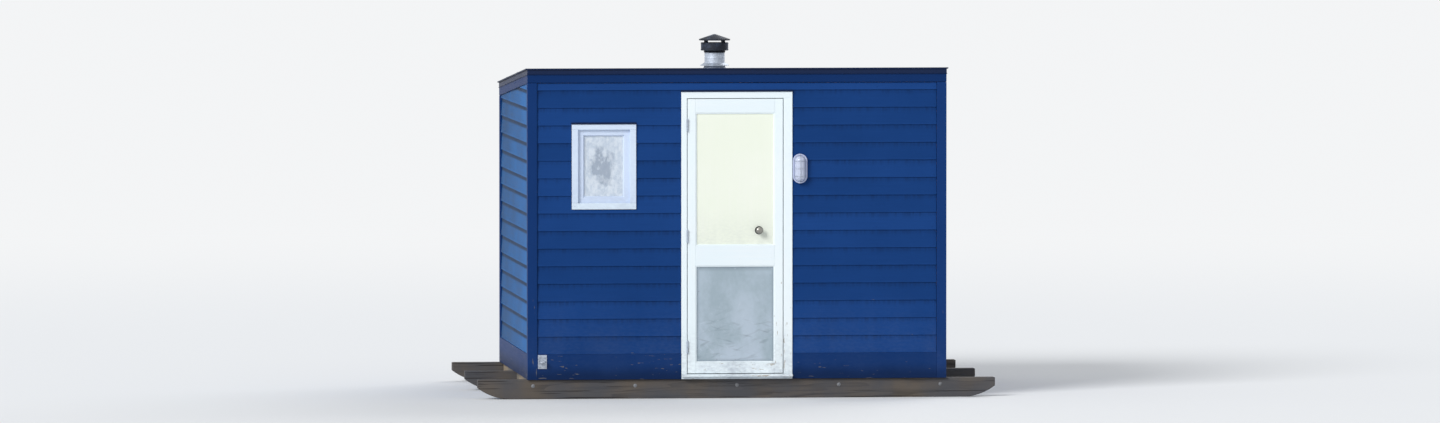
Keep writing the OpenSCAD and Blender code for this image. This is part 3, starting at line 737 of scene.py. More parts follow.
eased("base_boards", trim_paint, 0.0025)


def nail_grid(alongs, ups, out=trim):
    """(along, out, up) of a nail at each crossing of two rows of distances."""
    return np.array([(along, out, up) for up in ups for along in alongs])


post_up = np.arange(base_top + 0.06, under(half_depth) - 0.03, 0.37)
base_up = [skid_top + 0.035, base_top - 0.035]
for wall in outwards:
    edges = outer - np.array([0.018, 0.052]) if wall in ("front", "rear") else half_depth - np.array([0.024])
    at = studs[wall][np.abs(studs[wall]) < 1.40]
    if wall == "front":
        at = at[(at < door_gap[0] - 0.02) | (at > door_gap[1] + 0.02)]
    spots = np.concatenate([nail_grid([*-edges, *edges], post_up), nail_grid(at, base_up)])
    made(wall + "_trim_nails", driven(nail_head, spots, wall), trim_paint_up, "blue_trim")


# Roof frame: six planed softwood rafters on edge, the outer two over the side walls, and a deck of thin
# plywood nailed down on them. Both are left bare and are open to the room.

rafter_wood = timber("rafter softwood", code(206, 174, 128), code(160, 118, 74), "y", (0.03, 2.3), dull=0.62)
eased("roof_rafters", rafter_wood)
coat(plywood("roof plywood", code(206, 172, 124), code(160, 120, 76)), "roof_deck")


# Roof covering: three strips of mineral roll roofing, laid from the low side up, each lapping the one below
# by 80 mm. They are stuck with bitumen, which has bled out along the laps, and nailed round their edges;
# between the nails the sheet has puckered. A folded metal drip edge runs under it, round all four sides.

overhang = 0.012
across_roof = outer + overhang
down_roof = half_depth + trim + overhang - 1e-5  # a hair short, to stay in the CAD's box after rounding
rafter_deep, roof_deck_thick = 0.0891, 0.0126
covering_at = rafter_deep + roof_deck_thick
strip_thick = 0.0017
strip_step = strip_thick + 0.0002
lap_edges = (-0.45, 0.45)
lap = 0.08


def middle(node):
    """The middle of a node's box and its half sizes, as x, y and z."""
    low, high = np.array(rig.box(node))
    return (low + high) / 2, (high - low) / 2


pipe, (pipe_r, _, pipe_half) = middle("stove_pipe")


def on_roof(x, y, height):
    """Points at a height over the underside of the rafters, measured square to the roof."""
    return np.stack([x, y, under(y) + height / np.cos(pitch)], -1)


def lap_lift(y, edge):
    """How far a strip whose lower edge is at that depth is lifted by the strip under it."""
    return np.where(y <= edge + 1e-6, np.clip((y - edge + 0.12) / 0.035, 0, 1), 0) * strip_step


def puckers(x, y, front, back):
    """Height of the sheet's slow wrinkles: a sine along the strip whose crests are bent and swelled by
    slower sines. It fades to nothing at the strip's nailed edges and round the flashing."""
    wrinkle = 0.5 + 0.5 * np.sin(19 * x + 1.6 * np.sin(2.3 * x + 4.1 * y) + 2.0 * y)
    swell = 0.5 + 0.5 * np.sin(2.9 * x + 5.0 * y + 7 * front)
    inner = np.minimum(np.minimum(across_roof - np.abs(x), y - front), back - y) / 0.14
    clear = (np.hypot(x - pipe[0], y - pipe[1]) - 0.27) / 0.2
    hold = np.clip(np.minimum(inner, clear), 0, 1)
    return 0.0024 * wrinkle * swell * hold * hold * (3 - 2 * hold)


def roofing_strip(front, back, hole=0.0):
    """A strip of roofing from front to back, as closed rows that run out along its underside and back along
    its top. The rows are parallel, or with a hole they run from its rim to the strip's edge."""
    share = np.linspace(0, 1, 29)
    if hole:
        ends = np.array([(x, y) for x in (-across_roof, across_roof) for y in (front, back)]) - pipe[:2]
        bearing = np.sort([*circle(240), *(np.arctan2(*ends.T[::-1]) % (2 * np.pi))])[:, None]
        c, s = np.cos(bearing), np.sin(bearing)
        to_x = (np.where(c > 0, across_roof, -across_roof) - pipe[0]) / (c + 1e-12)
        to_y = (np.where(s > 0, back, front) - pipe[1]) / (s + 1e-12)
        reach = hole + share * (np.minimum(np.abs(to_x), np.abs(to_y)) - hole)
        x, y = pipe[0] + reach * c, pipe[1] + reach * s
    else:
        sides = np.linspace(-across_roof, across_roof, 181)
        x, y = np.meshgrid(sides, front + share * (back - front), indexing="ij")
    height = covering_at + 0.0001 + puckers(x, y, front, back)
    if back < down_roof:
        height = height + lap_lift(y, back)
    rows = on_roof(x, y, height), on_roof(x, y, height + strip_thick)[:, ::-1]
    return swept(np.concatenate(rows, 1), bool(hole))


felt = Finish("mineral roofing felt")
grit = felt.noise(900)
mottle = felt.noise(90, 4, 6.0)
wander = felt.axes()[1] + (felt.noise(38, 3, 2.0) - 0.5) * 0.016
bleed = sum((wander - edge).rise(-0.004, -0.002) * (wander - edge).rise(0.010, 0.006) for edge in lap_edges)
tone = felt.mix(
    code(58, 62, 70),
    (code(106, 112, 122), grit.rise(0.38, 0.66)),
    (code(72, 75, 82), mottle.rise(0.4, 0.62) * 0.5),
    (code(48, 49, 52), felt.noise(2.2, 4, 4.0).rise(0.4, 0.75) * 0.3),
    (code(122, 126, 134), felt.noise((34, 1.1, 1), 4, 8.0).rise(0.5, 0.8) * 0.28),
    (code(22, 22, 24), bleed * 0.9),
)
rough = grit * 0.1 + 0.85 - bleed * 0.45
felt_finish = felt.done(tone, rough, grit * 0.7 + mottle * 0.4, 0.0008, {"Specular IOR Level": 0.3})
strips = joined(
    roofing_strip(lap_edges[1] - lap, down_roof),
    roofing_strip(lap_edges[0] - lap, lap_edges[1], pipe_r + 0.02),
    roofing_strip(-down_roof, lap_edges[0]),
)
made("roofing_strips", strips, felt_finish, "roll_roofing", stands_for=["roof_covering"], smooth=40)
roof_nail = turned([(0.005, -0.0006), (0.005, 0.0006), (0.003, 0.001)], 8)
edge_in, nail_step = 0.03, 0.1
nail_rows = (lap_edges[0] - 0.025, lap_edges[1] - 0.025, -down_roof + edge_in, down_roof - edge_in)
nail_lines = (-across_roof + edge_in, across_roof - edge_in)
spots = [(x, y) for y in nail_rows for x in np.arange(-1.5, 1.51, nail_step)]
spots += [(x, y) for x in nail_lines for y in np.arange(-1.15, 1.16, nail_step)]
x, y = np.array(spots).T
height = covering_at + strip_step + sum(lap_lift(y, edge) for edge in lap_edges)
made("roofing_nails", repeated(roof_nail, on_roof(x, y, height), (0, fall, 1)), zinc, "zinc_steel")
edge_paint = painted("dark edge metal", code(8, 30, 66), 60, 0.4, 0.03, grime=0.1, shine=0.2)
out, height = np.array([
    (0.0003, 0.1011), (0.0113, 0.1014), (0.0113, 0.0950), (0.0106, 0.0950), (0.0106, 0.1006),
    (0.0011, 0.1003), (0.0011, 0.0640), (0.0058, 0.0585), (0.0052, 0.0579), (0.0003, 0.0634),
]).T
x = np.array([-1, 1, 1, -1])[:, None] * (outer + out)
y = np.array([-1, -1, 1, 1])[:, None] * (half_depth + trim + out)
made("drip_edge", swept(on_roof(x, y, height), True), edge_paint, "blue_trim")


# Fascia and barge boards: painted softwood boards on edge. The fascias cover the ends of the rafters, with
# two nails to each rafter, and the barge boards slope down the sides, with one row of nails.

fascia_paint = painted(
    "dark blue fascia paint", code(1, 42, 94), (2.5, 2.5, 150), 0.45, 0.04, grime=0.0, shine=0.13
)
eased("fascia_boards", fascia_paint, 0.0025)
eased("barge_boards", fascia_paint, 0.0025)
rafter_x = np.linspace(-1, 1, 6) * (half_width - lumber / 2)
slope = [(y, trim, under(y) + 0.045) for y in np.arange(-1.0, 1.01, 0.4)]
rows = [
    nail_grid(rafter_x, under(-half_depth) + np.array([0.022, 0.060])),
    nail_grid(rafter_x, under(half_depth) + np.array([0.022, 0.055])),
    slope,
    slope,
]
nails = joined(*(driven(nail_head, spots, wall) for spots, wall in zip(rows, outwards)))
made("roof_edge_nails", nails, fascia_paint, "blue_trim")


# Door frame: white-painted softwood. The jambs carry a planted stop, the casings stand on the sill, and the
# sill sheds water past its nose. The paint is rubbed thin and dirty low down; a folded cap covers the head.

wear = {"low": skid_top, "chips": 0.7, "bare": code(150, 138, 120), "shine": 0.3}
white_up = painted("white paint, upright", code(236, 247, 251), (150, 150, 2.5), 0.4, 0.04, grime=0.5, **wear)
white_level = painted(
    "white paint, level", code(233, 244, 249), (2.5, 150, 150), 0.4, 0.04, grime=0.6, **wear
)
eased("door_side_jambs", white_up, 0.0015)
eased("door_head_jamb", white_level, 0.0015)
eased("door_side_casings", white_up)
eased("door_head_casing", white_level)
eased("door_sill", white_level)


def head_flashing(name, casing):
    """A folded cap over a head casing: its profile's rows are (stand-out, height over the casing)."""
    left, right, low, high = span(casing)
    out, up = np.array([
        (0.0145, 0.0005), (0.0255, 0.0001), (0.0262, -0.0060), (0.0255, -0.0061), (0.0248, 0.0008),
        (0.0153, 0.0012), (0.0153, 0.0080), (0.0145, 0.0080),
    ]).T
    ends = np.array([[left - 0.003], [right + 0.003]])
    rows = np.stack(np.broadcast_arrays(ends, out, high + up), -1)
    made(name, on_wall(swept(rows)), edge_paint, "blue_trim")


head_flashing("door_head_flashing", "door_head_casing")
spots = np.concatenate([
    nail_grid([unit_left + 0.014, unit_right - 0.014], np.linspace(sill_top + 0.12, head_z - 0.12, 7)),
    nail_grid(np.linspace(unit_left + 0.03, unit_right - 0.03, 4), [head_z + 0.026]),
])
made("door_casing_nails", driven(nail_head, spots), white_up, "white_trim")
leaf_gap = 0.005
left, right, low, high = span("door_stiles", -leaf_gap)
inset, out = np.array([
    (0.002, -0.0209), (0.002, -0.0185), (0.004, -0.0166), (0.008, -0.0166), (0.010, -0.0185),
    (0.010, -0.0209),
]).T
along = [left + inset, left + inset, right - inset, right - inset]
foot, head = sill_top + 0.001 + 0 * inset, head_z - inset
seal = swept(np.stack([along, [out] * 4, [foot, head, head, foot]], -1))
vinyl = painted("white vinyl seal", code(206, 210, 212), 20, 0.45, 0.05, grime=0.4, low=skid_top)
made("door_seal", on_wall(seal), vinyl, "white_trim", smooth=50)


# Door leaf: stiles and rails painted white, grooved for two panels. The upper panel is cream-painted
# plywood; the lower one is a kick plate of dull sheet, dented and scuffed by boots, with a rubbed, frosty
# lower half. Quarter-round beads close both panels, and the leaf turns on three five-knuckle hinges.

eased("door_stiles", white_up, 0.0025, "door")
eased("door_rails", white_level, 0.0025, "door")
panel_out, panel_thick, groove = 0.011, 0.016, 0.0097
upper_sight = span("door_upper_panel", groove)
kick_sight = span("door_kick_panel", groove)
cream = painted(
    "cream panel paint", code(239, 244, 228), (130, 130, 3), 0.36, 0.03, grime=0.25, low=0.95, shine=0.3
)
eased("door_upper_panel", cream, 0.001, "door")

plate = Finish("scuffed kick plate")
x, y, z = plate.axes()


def marks(tilt, cells, shift, share, soft):
    """Straight marks, from 0 to 1: noise drawn out along one line of the sheet's plane, which leans by tilt
    from upright, with only its peaks kept. A lower share keeps more of them."""
    sockets = {0: plate.place, 1: (shift,) * 3, 2: (0, tilt, 0), 3: tuple(1 / n for n in cells)}
    lean = plate.add("Mapping", sockets, vector_type="TEXTURE")
    return plate.add("TexNoise", {"Vector": lean, "Scale": 1.0, "Detail": 1.0}).rise(share, share + soft)


cloud = plate.noise((4, 4, 3), 4)
blot = plate.noise((45, 45, 35), 4, 9.0)
worn = z.rise(1.0, 0.4)
leans = (0.35, 1), (-0.7, 2), (1.35, 3)
scratch = sum(marks(tilt, (420, 420, 9), shift, 0.73, 0.03) for tilt, shift in leans)
scratch = scratch * worn * blot.rise(0.35, 0.55)
scuff = sum(marks(tilt, (44, 44, 7), 4 + tilt, 0.6, 0.2) for tilt in (1.4, -1.3, 1.1)) * z.rise(0.8, 0.4)
# Darker along the plate's rim, widest under the top: partly grime by the beads, partly painted shade of the recess.
edge = (x - kick_sight[0]).math("MINIMUM", kick_sight[1] - x)
edge = edge.math("MINIMUM", z - kick_sight[2]).math("MINIMUM", (kick_sight[3] - z) * 0.7)
tone = plate.mix(
    code(156, 172, 182),
    (code(170, 185, 196), (cloud * 0.7 + blot * 0.3).rise(0.35, 0.65)),
    (code(186, 198, 212), worn * cloud.rise(0.42, 0.62) * 0.6),
    (code(118, 130, 140), edge.rise(0.034, 0.0) * (blot * 0.8 + 0.3)),
    (code(104, 112, 122), scuff * 0.3),
    (code(214, 222, 230), scratch * 0.5),
)
rough = cloud * 0.15 + blot * 0.15 + 0.35
kick_finish = plate.done(tone, rough, cloud * 0.5 - scratch * 0.15, 0.0004, {"Metallic": 0.2})


def slab(outer, inner):
    """A closed sheet between two grids of points that match: both faces, and the strip round their edge."""
    rows, columns = outer.shape[:2]
    count = rows * columns
    index = np.arange(count).reshape(rows, columns)
    rim = np.concatenate([index[0, :-1], index[:-1, -1], index[-1, :0:-1], index[:0:-1, 0]])
    strip = np.column_stack([rim, np.roll(rim, -1), np.roll(rim, -1) + count, rim + count])
    face = np.array(grid(rows, columns))
    faces = np.concatenate([face, face[:, ::-1] + count, strip]).tolist()
    return np.concatenate([outer.reshape(-1, 3), inner.reshape(-1, 3)]), faces


def dented(u, v):
    """Depth of the dents at u across and v up the plate, both 0 to 1: three slow waves and four round dips,
    all fading to nothing at the plate's held edges."""
    waves = 0.5 * np.sin(5.1 * u + 2.2 * v) * np.sin(4.3 * v + 0.7) + 0.3 * np.sin(9.0 * u - 5.0 * v + 1.0)
    dips = [(0.3, 0.25, 1.2, 0.09), (0.62, 0.33, 1.6, 0.12), (0.74, 0.12, 1.0, 0.07), (0.42, 0.55, 0.8, 0.15)]
    dips = sum(deep * np.exp(-((u - a) ** 2 + (1.4 * (v - b)) ** 2) / wide ** 2) for a, b, deep, wide in dips)
    hold = np.clip(np.minimum(np.minimum(u, 1 - u), np.minimum(v, 1 - v)) / 0.12, 0, 1) ** 2
    return 0.0011 * (waves + dips) * hold


v, u = np.meshgrid(np.linspace(0, 1, 57), np.linspace(0, 1, 47), indexing="ij")
left, right, low, high = span("door_kick_panel")
face = np.stack([left + u * (right - left), panel_out - dented(u, v), low + v * (high - low)], -1)
sheet = on_wall(slab(face, face * [1, 0, 1] + [0, panel_out - panel_thick, 0]))
made("kick_plate", sheet, kick_finish, "grey_panel", body="door", stands_for=["door_kick_panel"], smooth=40)


def mitred(profile, left, right, low, high):
    """A moulding mitred round the inside of an opening. The profile's rows are (inset from the opening's
    edge, stand-out); each row runs through the four corners."""
    inset, out = np.array(profile, float).T
    along = [left + inset, right - inset, right - inset, left + inset]
    up = [low + inset, low + inset, high - inset, high - inset]
    return swept(np.stack([along, [out] * 4, up], -1), True)


quarter = [(0.0092 * np.cos(t), 0.0006 + 0.0086 * np.sin(t)) for t in np.radians([0, 22.5, 45, 67.5])]
bead = np.array([(0.0002, 0.0001), (0.0094, 0.0001), *quarter, (0.0002, 0.0092)])
both_sides = bead + [0, panel_out], bead * [1, -1] + [0, panel_out - panel_thick]
beads = joined(*(mitred(rows, *sight) for rows in both_sides for sight in (upper_sight, kick_sight)))
made("panel_beads", on_wall(beads), white_up, "white_door", body="door", smooth=35)


def round_rim(left, right, low, high):
    """Sixteen evenly spaced points round the rim of an oblong."""
    spots = [(a, b) for a in np.linspace(left, right, 5) for b in np.linspace(low, high, 5)]
    return np.array([(a, b) for a, b in spots if a in (left, right) or b in (low, high)])


pan_head = turned([(0.0042, -0.001), (0.0042, 0.0008), (0.003, 0.0019), (0.0006, 0.0021)], 14)
spots = [(along, panel_out, up) for along, up in round_rim(*span("door_kick_panel", groove + 0.022))]
made("kick_plate_screws", driven(pan_head, spots), zinc, "zinc_steel", body="door", smooth=40)
coat(zinc, "hinge_jamb_leaves", "hinge_pins", "hinge_door_leaves")
pin_x, pin_y = frame["joints"][0]["pos_m"][:2]
left, right, low, high = span("hinge_jamb_leaves")
zigzag = [(0.013, -0.034), (0.025, -0.012), (0.013, 0.012), (0.025, 0.034)]
sunk_head = turned([(0.004, -0.0002), (0.004, 0.00006), (0.0018, 0.0001), (0.0011, 0.00003)], 12)
for name, body, look in (("hinge_jamb_screws", "hut", 1), ("hinge_leaf_screws", "door", -1)):
    middles = np.linspace(low + 0.045, high - 0.045, 3)
    spots = [(pin_x - 0.0002 * look, pin_y + a, z + b) for z in middles for a, b in zigzag]
    made(name, repeated(sunk_head, spots, (look, 0, 0)), old_bolt, "zinc_steel", body=body)


# Knob: a turned, dark-lacquered knob on a round rose that two small screws hold to the upper panel. Hands
# have rubbed its front brighter.

lacquer = Finish("dark lacquered knob")
cloud = lacquer.noise(70, 3)
front_y = -half_depth - panel_out
rub = (lacquer.axes()[1] + (cloud - 0.5) * 0.02).rise(front_y - 0.030, front_y - 0.052)
tone = lacquer.mix(code(64, 64, 68), (code(158, 156, 148), rub * 0.9))
knob_finish = lacquer.done(tone, cloud * 0.2 + 0.3 - rub * 0.1, cloud, 0.0001, {"Metallic": 0.85})
swell = np.linspace(0.12, np.pi / 2 - 0.02, 12)
profile = [
    (0.030, 0.0), (0.030, 0.0022), (0.0285, 0.0042), (0.0245, 0.0050), (0.0125, 0.0056), (0.0105, 0.0085),
    (0.0098, 0.018), (0.0112, 0.0235), (0.0185, 0.0258), (0.0236, 0.0298), (0.0258, 0.0355),
    (0.0260, 0.0400), *((0.0260 * np.cos(t), 0.0400 + 0.0142 * np.sin(t)) for t in swell),
]
(knob_x, _, knob_z), _ = middle("door_knob")
rose_screw = turned([(0.0028, -0.0004), (0.0028, 0.0004), (0.0016, 0.001)], 12)
knob = joined(
    driven(turned(profile, 72), [(knob_x, panel_out, knob_z)]),
    driven(rose_screw, [(knob_x + side * 0.0185, panel_out + 0.0052, knob_z) for side in (-1, 1)]),
)
made("turned_knob", knob, knob_finish, "dark_metal", body="door", stands_for=["door_knob"], smooth=35)


# Window: a fixed sash of square members in the wall, a mitred putty fillet that holds the glass, and four
# plain casing boards, the head and foot ones running over the ends of the upright ones. The glass is frosted
# over from inside, and a thawed patch round its middle looks darker.

band, butt_gap, end_in = 0.045, 0.0003, 0.12
white_cool = painted("window white paint", code(206, 219, 242), 40, 0.4, 0.05, grime=0.3, low=1.25, shine=0.3)
left, right, low, high = span("window_casing")
upright = low + band + butt_gap, high - band - butt_gap
cuts = [
    (oblong(left, right, high - band, high), 0),
    (oblong(left, right, low, low + band), 0),
    (oblong(left, left + band, *upright), 0),
    (oblong(right - band, right, *upright), 0),
]
shape, tones = boards(cuts, (0, 0), (trim, 0), rng)
casing = made(
    "window_casing_boards", on_wall(shape), white_cool, "white_trim",
    stands_for=["window_casing"], tones=tones,
)
round_edges(casing, 0.002)
left, right, low, high = span("window_casing", band / 2)
upright = np.linspace(low - band / 2 + end_in, high + band / 2 - end_in, 3)
spots = nail_grid([left, (left + right) / 2, right], [low, high]), nail_grid([left, right], upright)
made("window_casing_nails", driven(nail_head, np.concatenate(spots)), white_cool, "white_trim")
eased("window_sash", white_cool, 0.0015)
head_flashing("window_head_flashing", "window_casing")
glass, (_, glass_half, _) = middle("window_glass")
rebate = 0.0077
sight = span("window_glass", rebate)
putty = np.array([(0.0002, 0.0002), (0.0085, 0.0002), (0.0075, 0.0022), (0.0002, 0.0098)])
both_sides = putty + [0, glass_half], putty * [1, -1] - [0, glass_half]
fillets = joined(*(mitred(rows - [0, half_depth + glass[1]], *sight) for rows in both_sides))
made("glass_putty", on_wall(fillets), white_cool, "white_trim")

frost = Finish("frosted glass")
x, y, z = frost.axes()
away = (x - glass[0]) / (sight[1] - sight[0])
above = (z - glass[2]) / (sight[3] - sight[2])
fern = frost.noise((46, 46, 30), 5, 3.0)
crystal = frost.add("TexVoronoi", {"Vector": frost.place, "Scale": 95.0}, feature="DISTANCE_TO_EDGE")
thin = away.diagonal(above) + (frost.noise((11, 11, 8), 3) - 0.5) * 0.5 + (fern - 0.5) * 0.3
thaw = thin.rise(0.34, 0.12)
tone = frost.mix(
    code(196, 209, 224),
    (code(222, 231, 241), fern.rise(0.35, 0.65)),
    (code(236, 242, 248), crystal.rise(0.12, 0.0) * 0.5),
    (code(150, 163, 181), thaw * 0.75),
)
clear = {"Transmission Weight": 0.15, "IOR": 1.45}
coat(frost.done(tone, 0.55 - thaw * 0.35, fern * (1 - thaw), 0.0004, clear), "window_glass")


# Bulkhead lamp: a pale enamelled base of stadium outline, an opal glass seated in it with pressed ribs, and
# a wire guard of three hoops and one long bow. Two screws hold the base to the siding.

eased("lamp_base", painted("pale lamp enamel", code(178, 186, 214), 30, 0.3, 0.05, grime=0.0), 0.003)
(lamp_x, _, lamp_z), (_, _, base_half) = middle("lamp_base")
(_, globe_y, _), (globe_r, globe_deep, globe_half) = middle("lamp_globe")
straight = globe_half - globe_r
globe_out = -half_depth - globe_y - globe_deep
bearing = circle(96) + 0.01  # turned a little, so that every point is in the upper or the lower half
climb = np.linspace(0, np.radians(88), 34)[:, None]
ribbed = globe_r * (1 - 0.012 * (0.5 - 0.5 * np.cos(26 * climb)))
side = lamp_x + ribbed * np.cos(climb) * np.cos(bearing)
up = lamp_z + ribbed * np.cos(climb) * np.sin(bearing) + straight * np.sign(np.sin(bearing))
dome = swept(np.stack([side, globe_out + ribbed * np.sin(climb) + 0 * bearing, up], -1))
opal = Finish("opal glass")
milk = opal.noise(30, 3)
tone = opal.mix(code(194, 202, 226), (code(208, 215, 235), milk))
opal_finish = opal.done(tone, milk * 0.1 + 0.15, more={"Transmission Weight": 0.15, "Coat Weight": 0.3})
made("ribbed_globe", on_wall(dome), opal_finish, "opal_glass", stands_for=["lamp_globe"], smooth=30)


def wire(path, radius=0.0014, sides=8):
    """Round wire along a path of points: at each point a circle stands square to the path, its axes made
    from the path's direction and the wall's upright."""
    ahead = np.gradient(path, axis=0)
    ahead /= np.linalg.norm(ahead, axis=1, keepdims=True)
    flat = np.ptp(path[:, 2]) < 1e-6
    across = np.cross(ahead, [0, 0, 1.0] if flat else [1.0, 0, 0])
    across /= np.linalg.norm(across, axis=1, keepdims=True)
    other = np.cross(ahead, across)
    spin = circle(sides)[:, None]
    return swept(path[:, None] + radius * (np.cos(spin) * across[:, None] + np.sin(spin) * other[:, None]))


guard_r = globe_r + 0.0022
arch = np.linspace(0, np.pi, 25)
across, out = guard_r * np.cos(arch), globe_out + guard_r * np.sin(arch)
bow_up = np.where(arch < np.pi / 2, straight, -straight) + across
paths = [(lamp_x + across, out, lamp_z + step + 0 * arch) for step in (-straight, 0, straight)]
paths.append((lamp_x + 0 * arch, out, lamp_z + bow_up))
guard = joined(*(wire(against(np.stack(path, -1))) for path in paths))
made("lamp_guard", guard, zinc, "lamp_body", smooth=60)
base_out, screw_in = 0.038, 0.007
spots = [(lamp_x, base_out, lamp_z + side * (base_half - screw_in)) for side in (-1, 1)]
made("lamp_screws", driven(pan_head, spots), zinc, "lamp_body", smooth=40)


# Stack: a galvanised stove pipe with a rolled bead and a lock seam, open through the roof. A pressed
# flashing turns up round it, a storm collar sheds rain over the flashing, and the rain cap's band and hat
# are sooty.

pipe_foot, pipe_top = pipe[2] - pipe_half, pipe[2] + pipe_half
soot_at = (pipe_top - 0.09, pipe_top + 0.01)
pipe_zinc = metal("smoked zinc pipe", code(206, 215, 229), 0.55, 0.38, 0.6, 0.3, 0.2, soot_at)
bead_turn = np.linspace(-np.pi / 2, np.pi / 2, 9)
skin_r, bore_r = pipe_r - 0.0012, pipe_r - 0.0026
bead_z = pipe_top - 0.082
profile = [
    (skin_r, pipe_foot),
    *((skin_r + 0.0011 * np.cos(t), bead_z + 0.005 * np.sin(t)) for t in bead_turn),
    (skin_r, pipe_top), (bore_r, pipe_top), (bore_r, pipe_foot),
]
seam_in = np.array([0.0012, 0.0002, 0.0002, 0.0012, 0.0016, 0.0016, 0.0016, 0.0016])
seam_turn = np.radians([-62.0, -61.2, -58.8, -58.0, -58.0, -58.8, -61.2, -62.0])
seam = swept(spun(pipe_r - seam_in, seam_turn, np.array([[pipe_foot + 0.002], [pipe_top - 0.002]])))
corners, faces = joined(turned(profile, 96, ring=True), seam)
tube = corners + [pipe[0], pipe[1], 0], faces
made("stove_pipe_tube", tube, pipe_zinc, "zinc_steel", stands_for=["stove_pipe"], smooth=40)

bearing = np.sort([*circle(96), *(np.pi * (np.arange(4) / 2 + 0.25))])[:, None]
c, s = np.cos(bearing), np.sin(bearing)
flashing_half, screw_line = 0.180, 0.163
square = flashing_half / np.maximum(np.abs(c), np.abs(s))
climb = np.linspace(0, 1, 9)
cone = pipe_r + 0.002 + 0.043 * (1 - climb) ** 1.6
flat_at = covering_at + strip_thick + 0.0003
neck_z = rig.box("storm_collar")[0].z - 0.004
flashing_thick = 0.0012


def flashing_row(radius, lift, share):
    """A row of the flashing at a radius: it lies on the roof plus lift at share 0, and is level with the
    neck's top at share 1."""
    lying = on_roof(pipe[0] + radius * c, pipe[1] + radius * s, flat_at + lift)
    lying[..., 2] = lying[..., 2] * (1 - share) + share * (neck_z + lift)
    return lying


rows = [flashing_row(square, 0.0, 0.0), flashing_row(square, flashing_thick, 0.0)]
rows += [flashing_row(r, flashing_thick, t) for r, t in zip(cone, climb ** 0.8)]
rows += [flashing_row(r - flashing_thick, 0.0, t) for r, t in zip(cone[::-1], climb[::-1] ** 0.8)]
flashing = swept(np.concatenate(rows, 1), True)
made("pressed_flashing", flashing, zinc, "zinc_steel", stands_for=["roof_flashing"], smooth=35)
coat(zinc, "storm_collar")
hex_screw = joined(
    turned([(0.0075, 0), (0.0075, 0.0012), (0.0045, 0.0014)], 20),
    turned([(0.0042, 0.001), (0.0042, 0.0048), (0.003, 0.0053)], 6),
)
x, y = round_rim(-screw_line, screw_line, -screw_line, screw_line).T + pipe[:2, None]
screws = repeated(hex_screw, on_roof(x, y, flat_at + flashing_thick), (0, fall, 1))
made("flashing_screws", screws, zinc, "zinc_steel")

soot = Finish("sooty sheet")
cloud = soot.noise(18, 4)
fleck = soot.noise(150, 3, 2.0)
tone = soot.mix(
    code(34, 40, 52),
    (code(70, 84, 108), cloud.rise(0.45, 0.7) * 0.8),
    (code(14, 14, 16), fleck.rise(0.5, 0.7) * 0.6),
)
soot_finish = soot.done(tone, 0.75 - cloud * 0.25, cloud * 0.5 + fleck * 0.5, 0.0005, {"Metallic": 0.3})
gauge = 0.0016
band_r = 0.1005


def cap_band(radius, low, high, ribs):
    """A sheet band turned round the pipe: straight inside, with a raised bead at each rib's height."""
    outer = [(radius, low)]
    for rib in ribs:
        outer += [(radius + 0.002 * np.cos(t), rib + 0.003 * np.sin(t)) for t in bead_turn]
    return turned(outer + [(radius, high), (radius - gauge, high), (radius - gauge, low)], 96, ring=True)


hat_r, hat_low, lip_top, hat_top = 0.114, 0.044, 0.054, 0.090
hat = [
    (hat_r - gauge, hat_low), (hat_r, hat_low), (hat_r, lip_top - 0.002), (hat_r - 0.002, lip_top),
    (0.020, hat_top - 0.005), (0.008, hat_top - 0.0012), (0.0005, hat_top), (0.0005, hat_top - gauge),
    (0.020, hat_top - 0.005 - gauge), (hat_r - gauge - 0.001, lip_top - gauge),
]
parts = [
    turned(hat, 96, ring=True),
    cap_band(band_r, -0.030, 0.028, (-0.024, 0.022)),
    cap_band(pipe_r + 0.0022, -0.045, 0.0, (-0.039, -0.006)),
]
web = np.array([(pipe_r + 0.001, -0.030), (0.0993, -0.030), (0.0993, 0.0555), (pipe_r + 0.001, 0.063)])
rivet = turned([(0.003, -0.0006), (0.003, 0.0006), (0.0018, 0.0016)], 10)
for at in np.radians([45, 135, 225, 315]):
    ray, side = np.array([np.cos(at), np.sin(at)]), np.array([-np.sin(at), np.cos(at)])
    faces = [np.column_stack([web[:, :1] * ray + out * side, web[:, 1]]) for out in (-gauge / 2, gauge / 2)]
    parts.append(swept(np.stack(faces)))
    parts.append(repeated(rivet, [(*(band_r * ray), height) for height in (-0.015, 0.012)], (*ray, 0)))
corners, faces = joined(*parts)
cap = corners + [pipe[0], pipe[1], pipe_top], faces
made("rain_cap", cap, soot_finish, "sooty_steel", stands_for=["pipe_cap"], smooth=35)


# Tie-down eye: a galvanised steel plate with a drilled lug, by the left corner. Four bolts with washers hold
# it, through the base board, to the floor frame.

eased("tie_down_eye", zinc, 0.0012)
(eye_x, _, eye_z), _ = middle("tie_down_eye")
hex_head = joined(
    turned([(0.0095, 0), (0.0095, 0.0014), (0.0065, 0.0015)], 24),
    turned([(0.0066, 0.0012), (0.0066, 0.0060), (0.0052, 0.0068)], 6),
)
eye_thick, bolt_x, bolt_z = 0.006, 0.020, 0.034
spots = nail_grid([eye_x - bolt_x, eye_x + bolt_x], [eye_z - bolt_z, eye_z + bolt_z], trim + eye_thick)
made("eye_bolts", driven(hex_head, spots), zinc, "zinc_steel")


# Studio: a pale floor that keeps the soft shadow and fades to the background's tone far off, one wide soft
# sun from the left front, a weaker one from behind, and a long lens at eye height, a little left of the
# front.

bpy.ops.mesh.primitive_circle_add(vertices=96, radius=150, fill_type="NGON")
floor = bpy.context.object
floor.name = "studio_floor"
ground = Finish("pale floor")


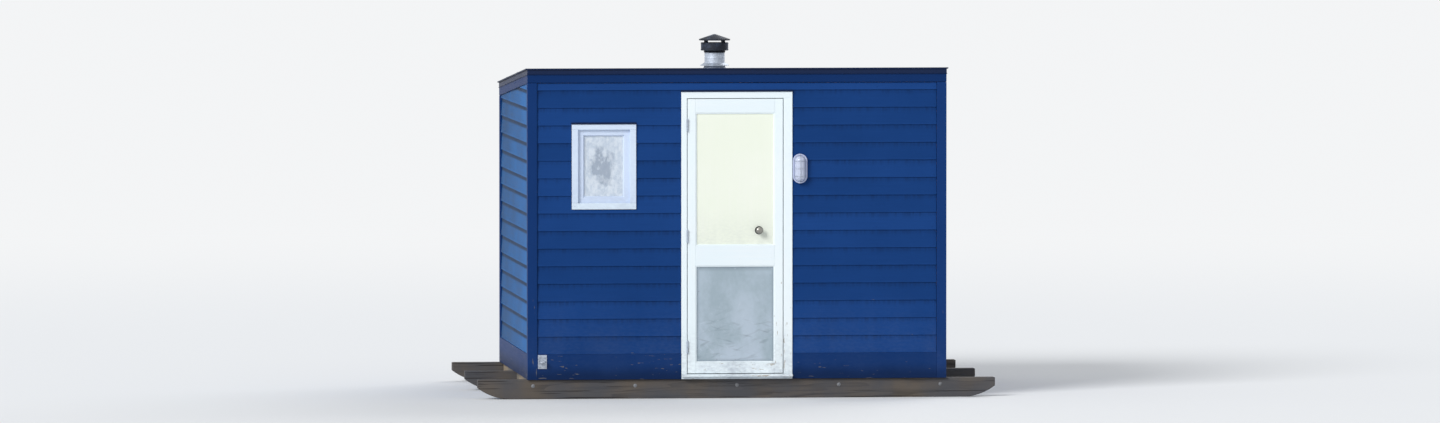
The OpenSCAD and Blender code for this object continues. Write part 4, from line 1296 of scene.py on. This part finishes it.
def looked_at(finish):
    """1 for rays that the camera, a gloss or a glass sends out, and 0 for rays that only carry light."""
    seen, gloss, through = [
        finish.add("LightPath", out="Is %s Ray" % kind) for kind in ("Camera", "Glossy", "Transmission")
    ]
    return seen.math("MAXIMUM", gloss).math("MAXIMUM", through)


backdrop = (0.90, 0.91, 0.92, 1)
x, y, z = ground.axes()
far = x.diagonal(y).rise(7.0, 26.0)
near = ground.add("BsdfDiffuse", {"Color": (0.78, 0.79, 0.80, 1)})
glow = ground.add("Emission", {"Color": backdrop, "Strength": 1.0})
shade = ground.add("MixShader", {0: far * looked_at(ground), 1: near, 2: glow})
ground.add("OutputMaterial", {"Surface": shade})
floor.data.materials.append(ground.material)
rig.stage(floor)

sky = Finish("studio", bpy.data.worlds)
light = sky.add("Background", {"Color": (0.93, 0.96, 1.0, 1), "Strength": 0.5})
pale = sky.add("Background", {"Color": backdrop, "Strength": 1.0})
sky.add("OutputWorld", {"Surface": sky.add("MixShader", {0: looked_at(sky), 1: light, 2: pale})})
bpy.context.scene.world = sky.material


def stood(name, thing, look):
    """Puts a light or a camera in the scene, with its own -z axis turned along look."""
    holder = bpy.data.objects.new(name, thing)
    bpy.context.scene.collection.objects.link(holder)
    holder.rotation_mode = "QUATERNION"
    holder.rotation_quaternion = look.to_track_quat("-Z", "Y")
    return holder


for name, towards, strength, width in (
    ("key", (-0.62, -0.60, 0.52), 2.35, 24),
    ("fill", (0.6, 0.75, 0.5), 1.4, 45),
):
    lamp = bpy.data.lights.new(name, "SUN")
    lamp.energy = strength
    lamp.angle = np.radians(width)
    stood(name, lamp, -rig.Vector(towards))

azimuth, elevation, distance = np.radians(-5.9), np.radians(2.4), 83.0
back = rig.Vector((
    np.sin(azimuth) * np.cos(elevation), -np.cos(azimuth) * np.cos(elevation), np.sin(elevation)
))
camera = bpy.data.cameras.new("camera")
camera.lens = 283
camera.sensor_width = 36
camera.clip_end = 400
viewpoint = stood("camera", camera, -back)
viewpoint.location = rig.Vector((0, 0, 1.30)) + back * distance
bpy.context.scene.camera = viewpoint
bpy.context.scene.view_settings.view_transform = "Standard"

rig.json.dump(
    {"cad": [list(corner) for corner in cad_box], "visual": [list(corner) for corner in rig.bounds()]},
    open("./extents.json", "w"),
)
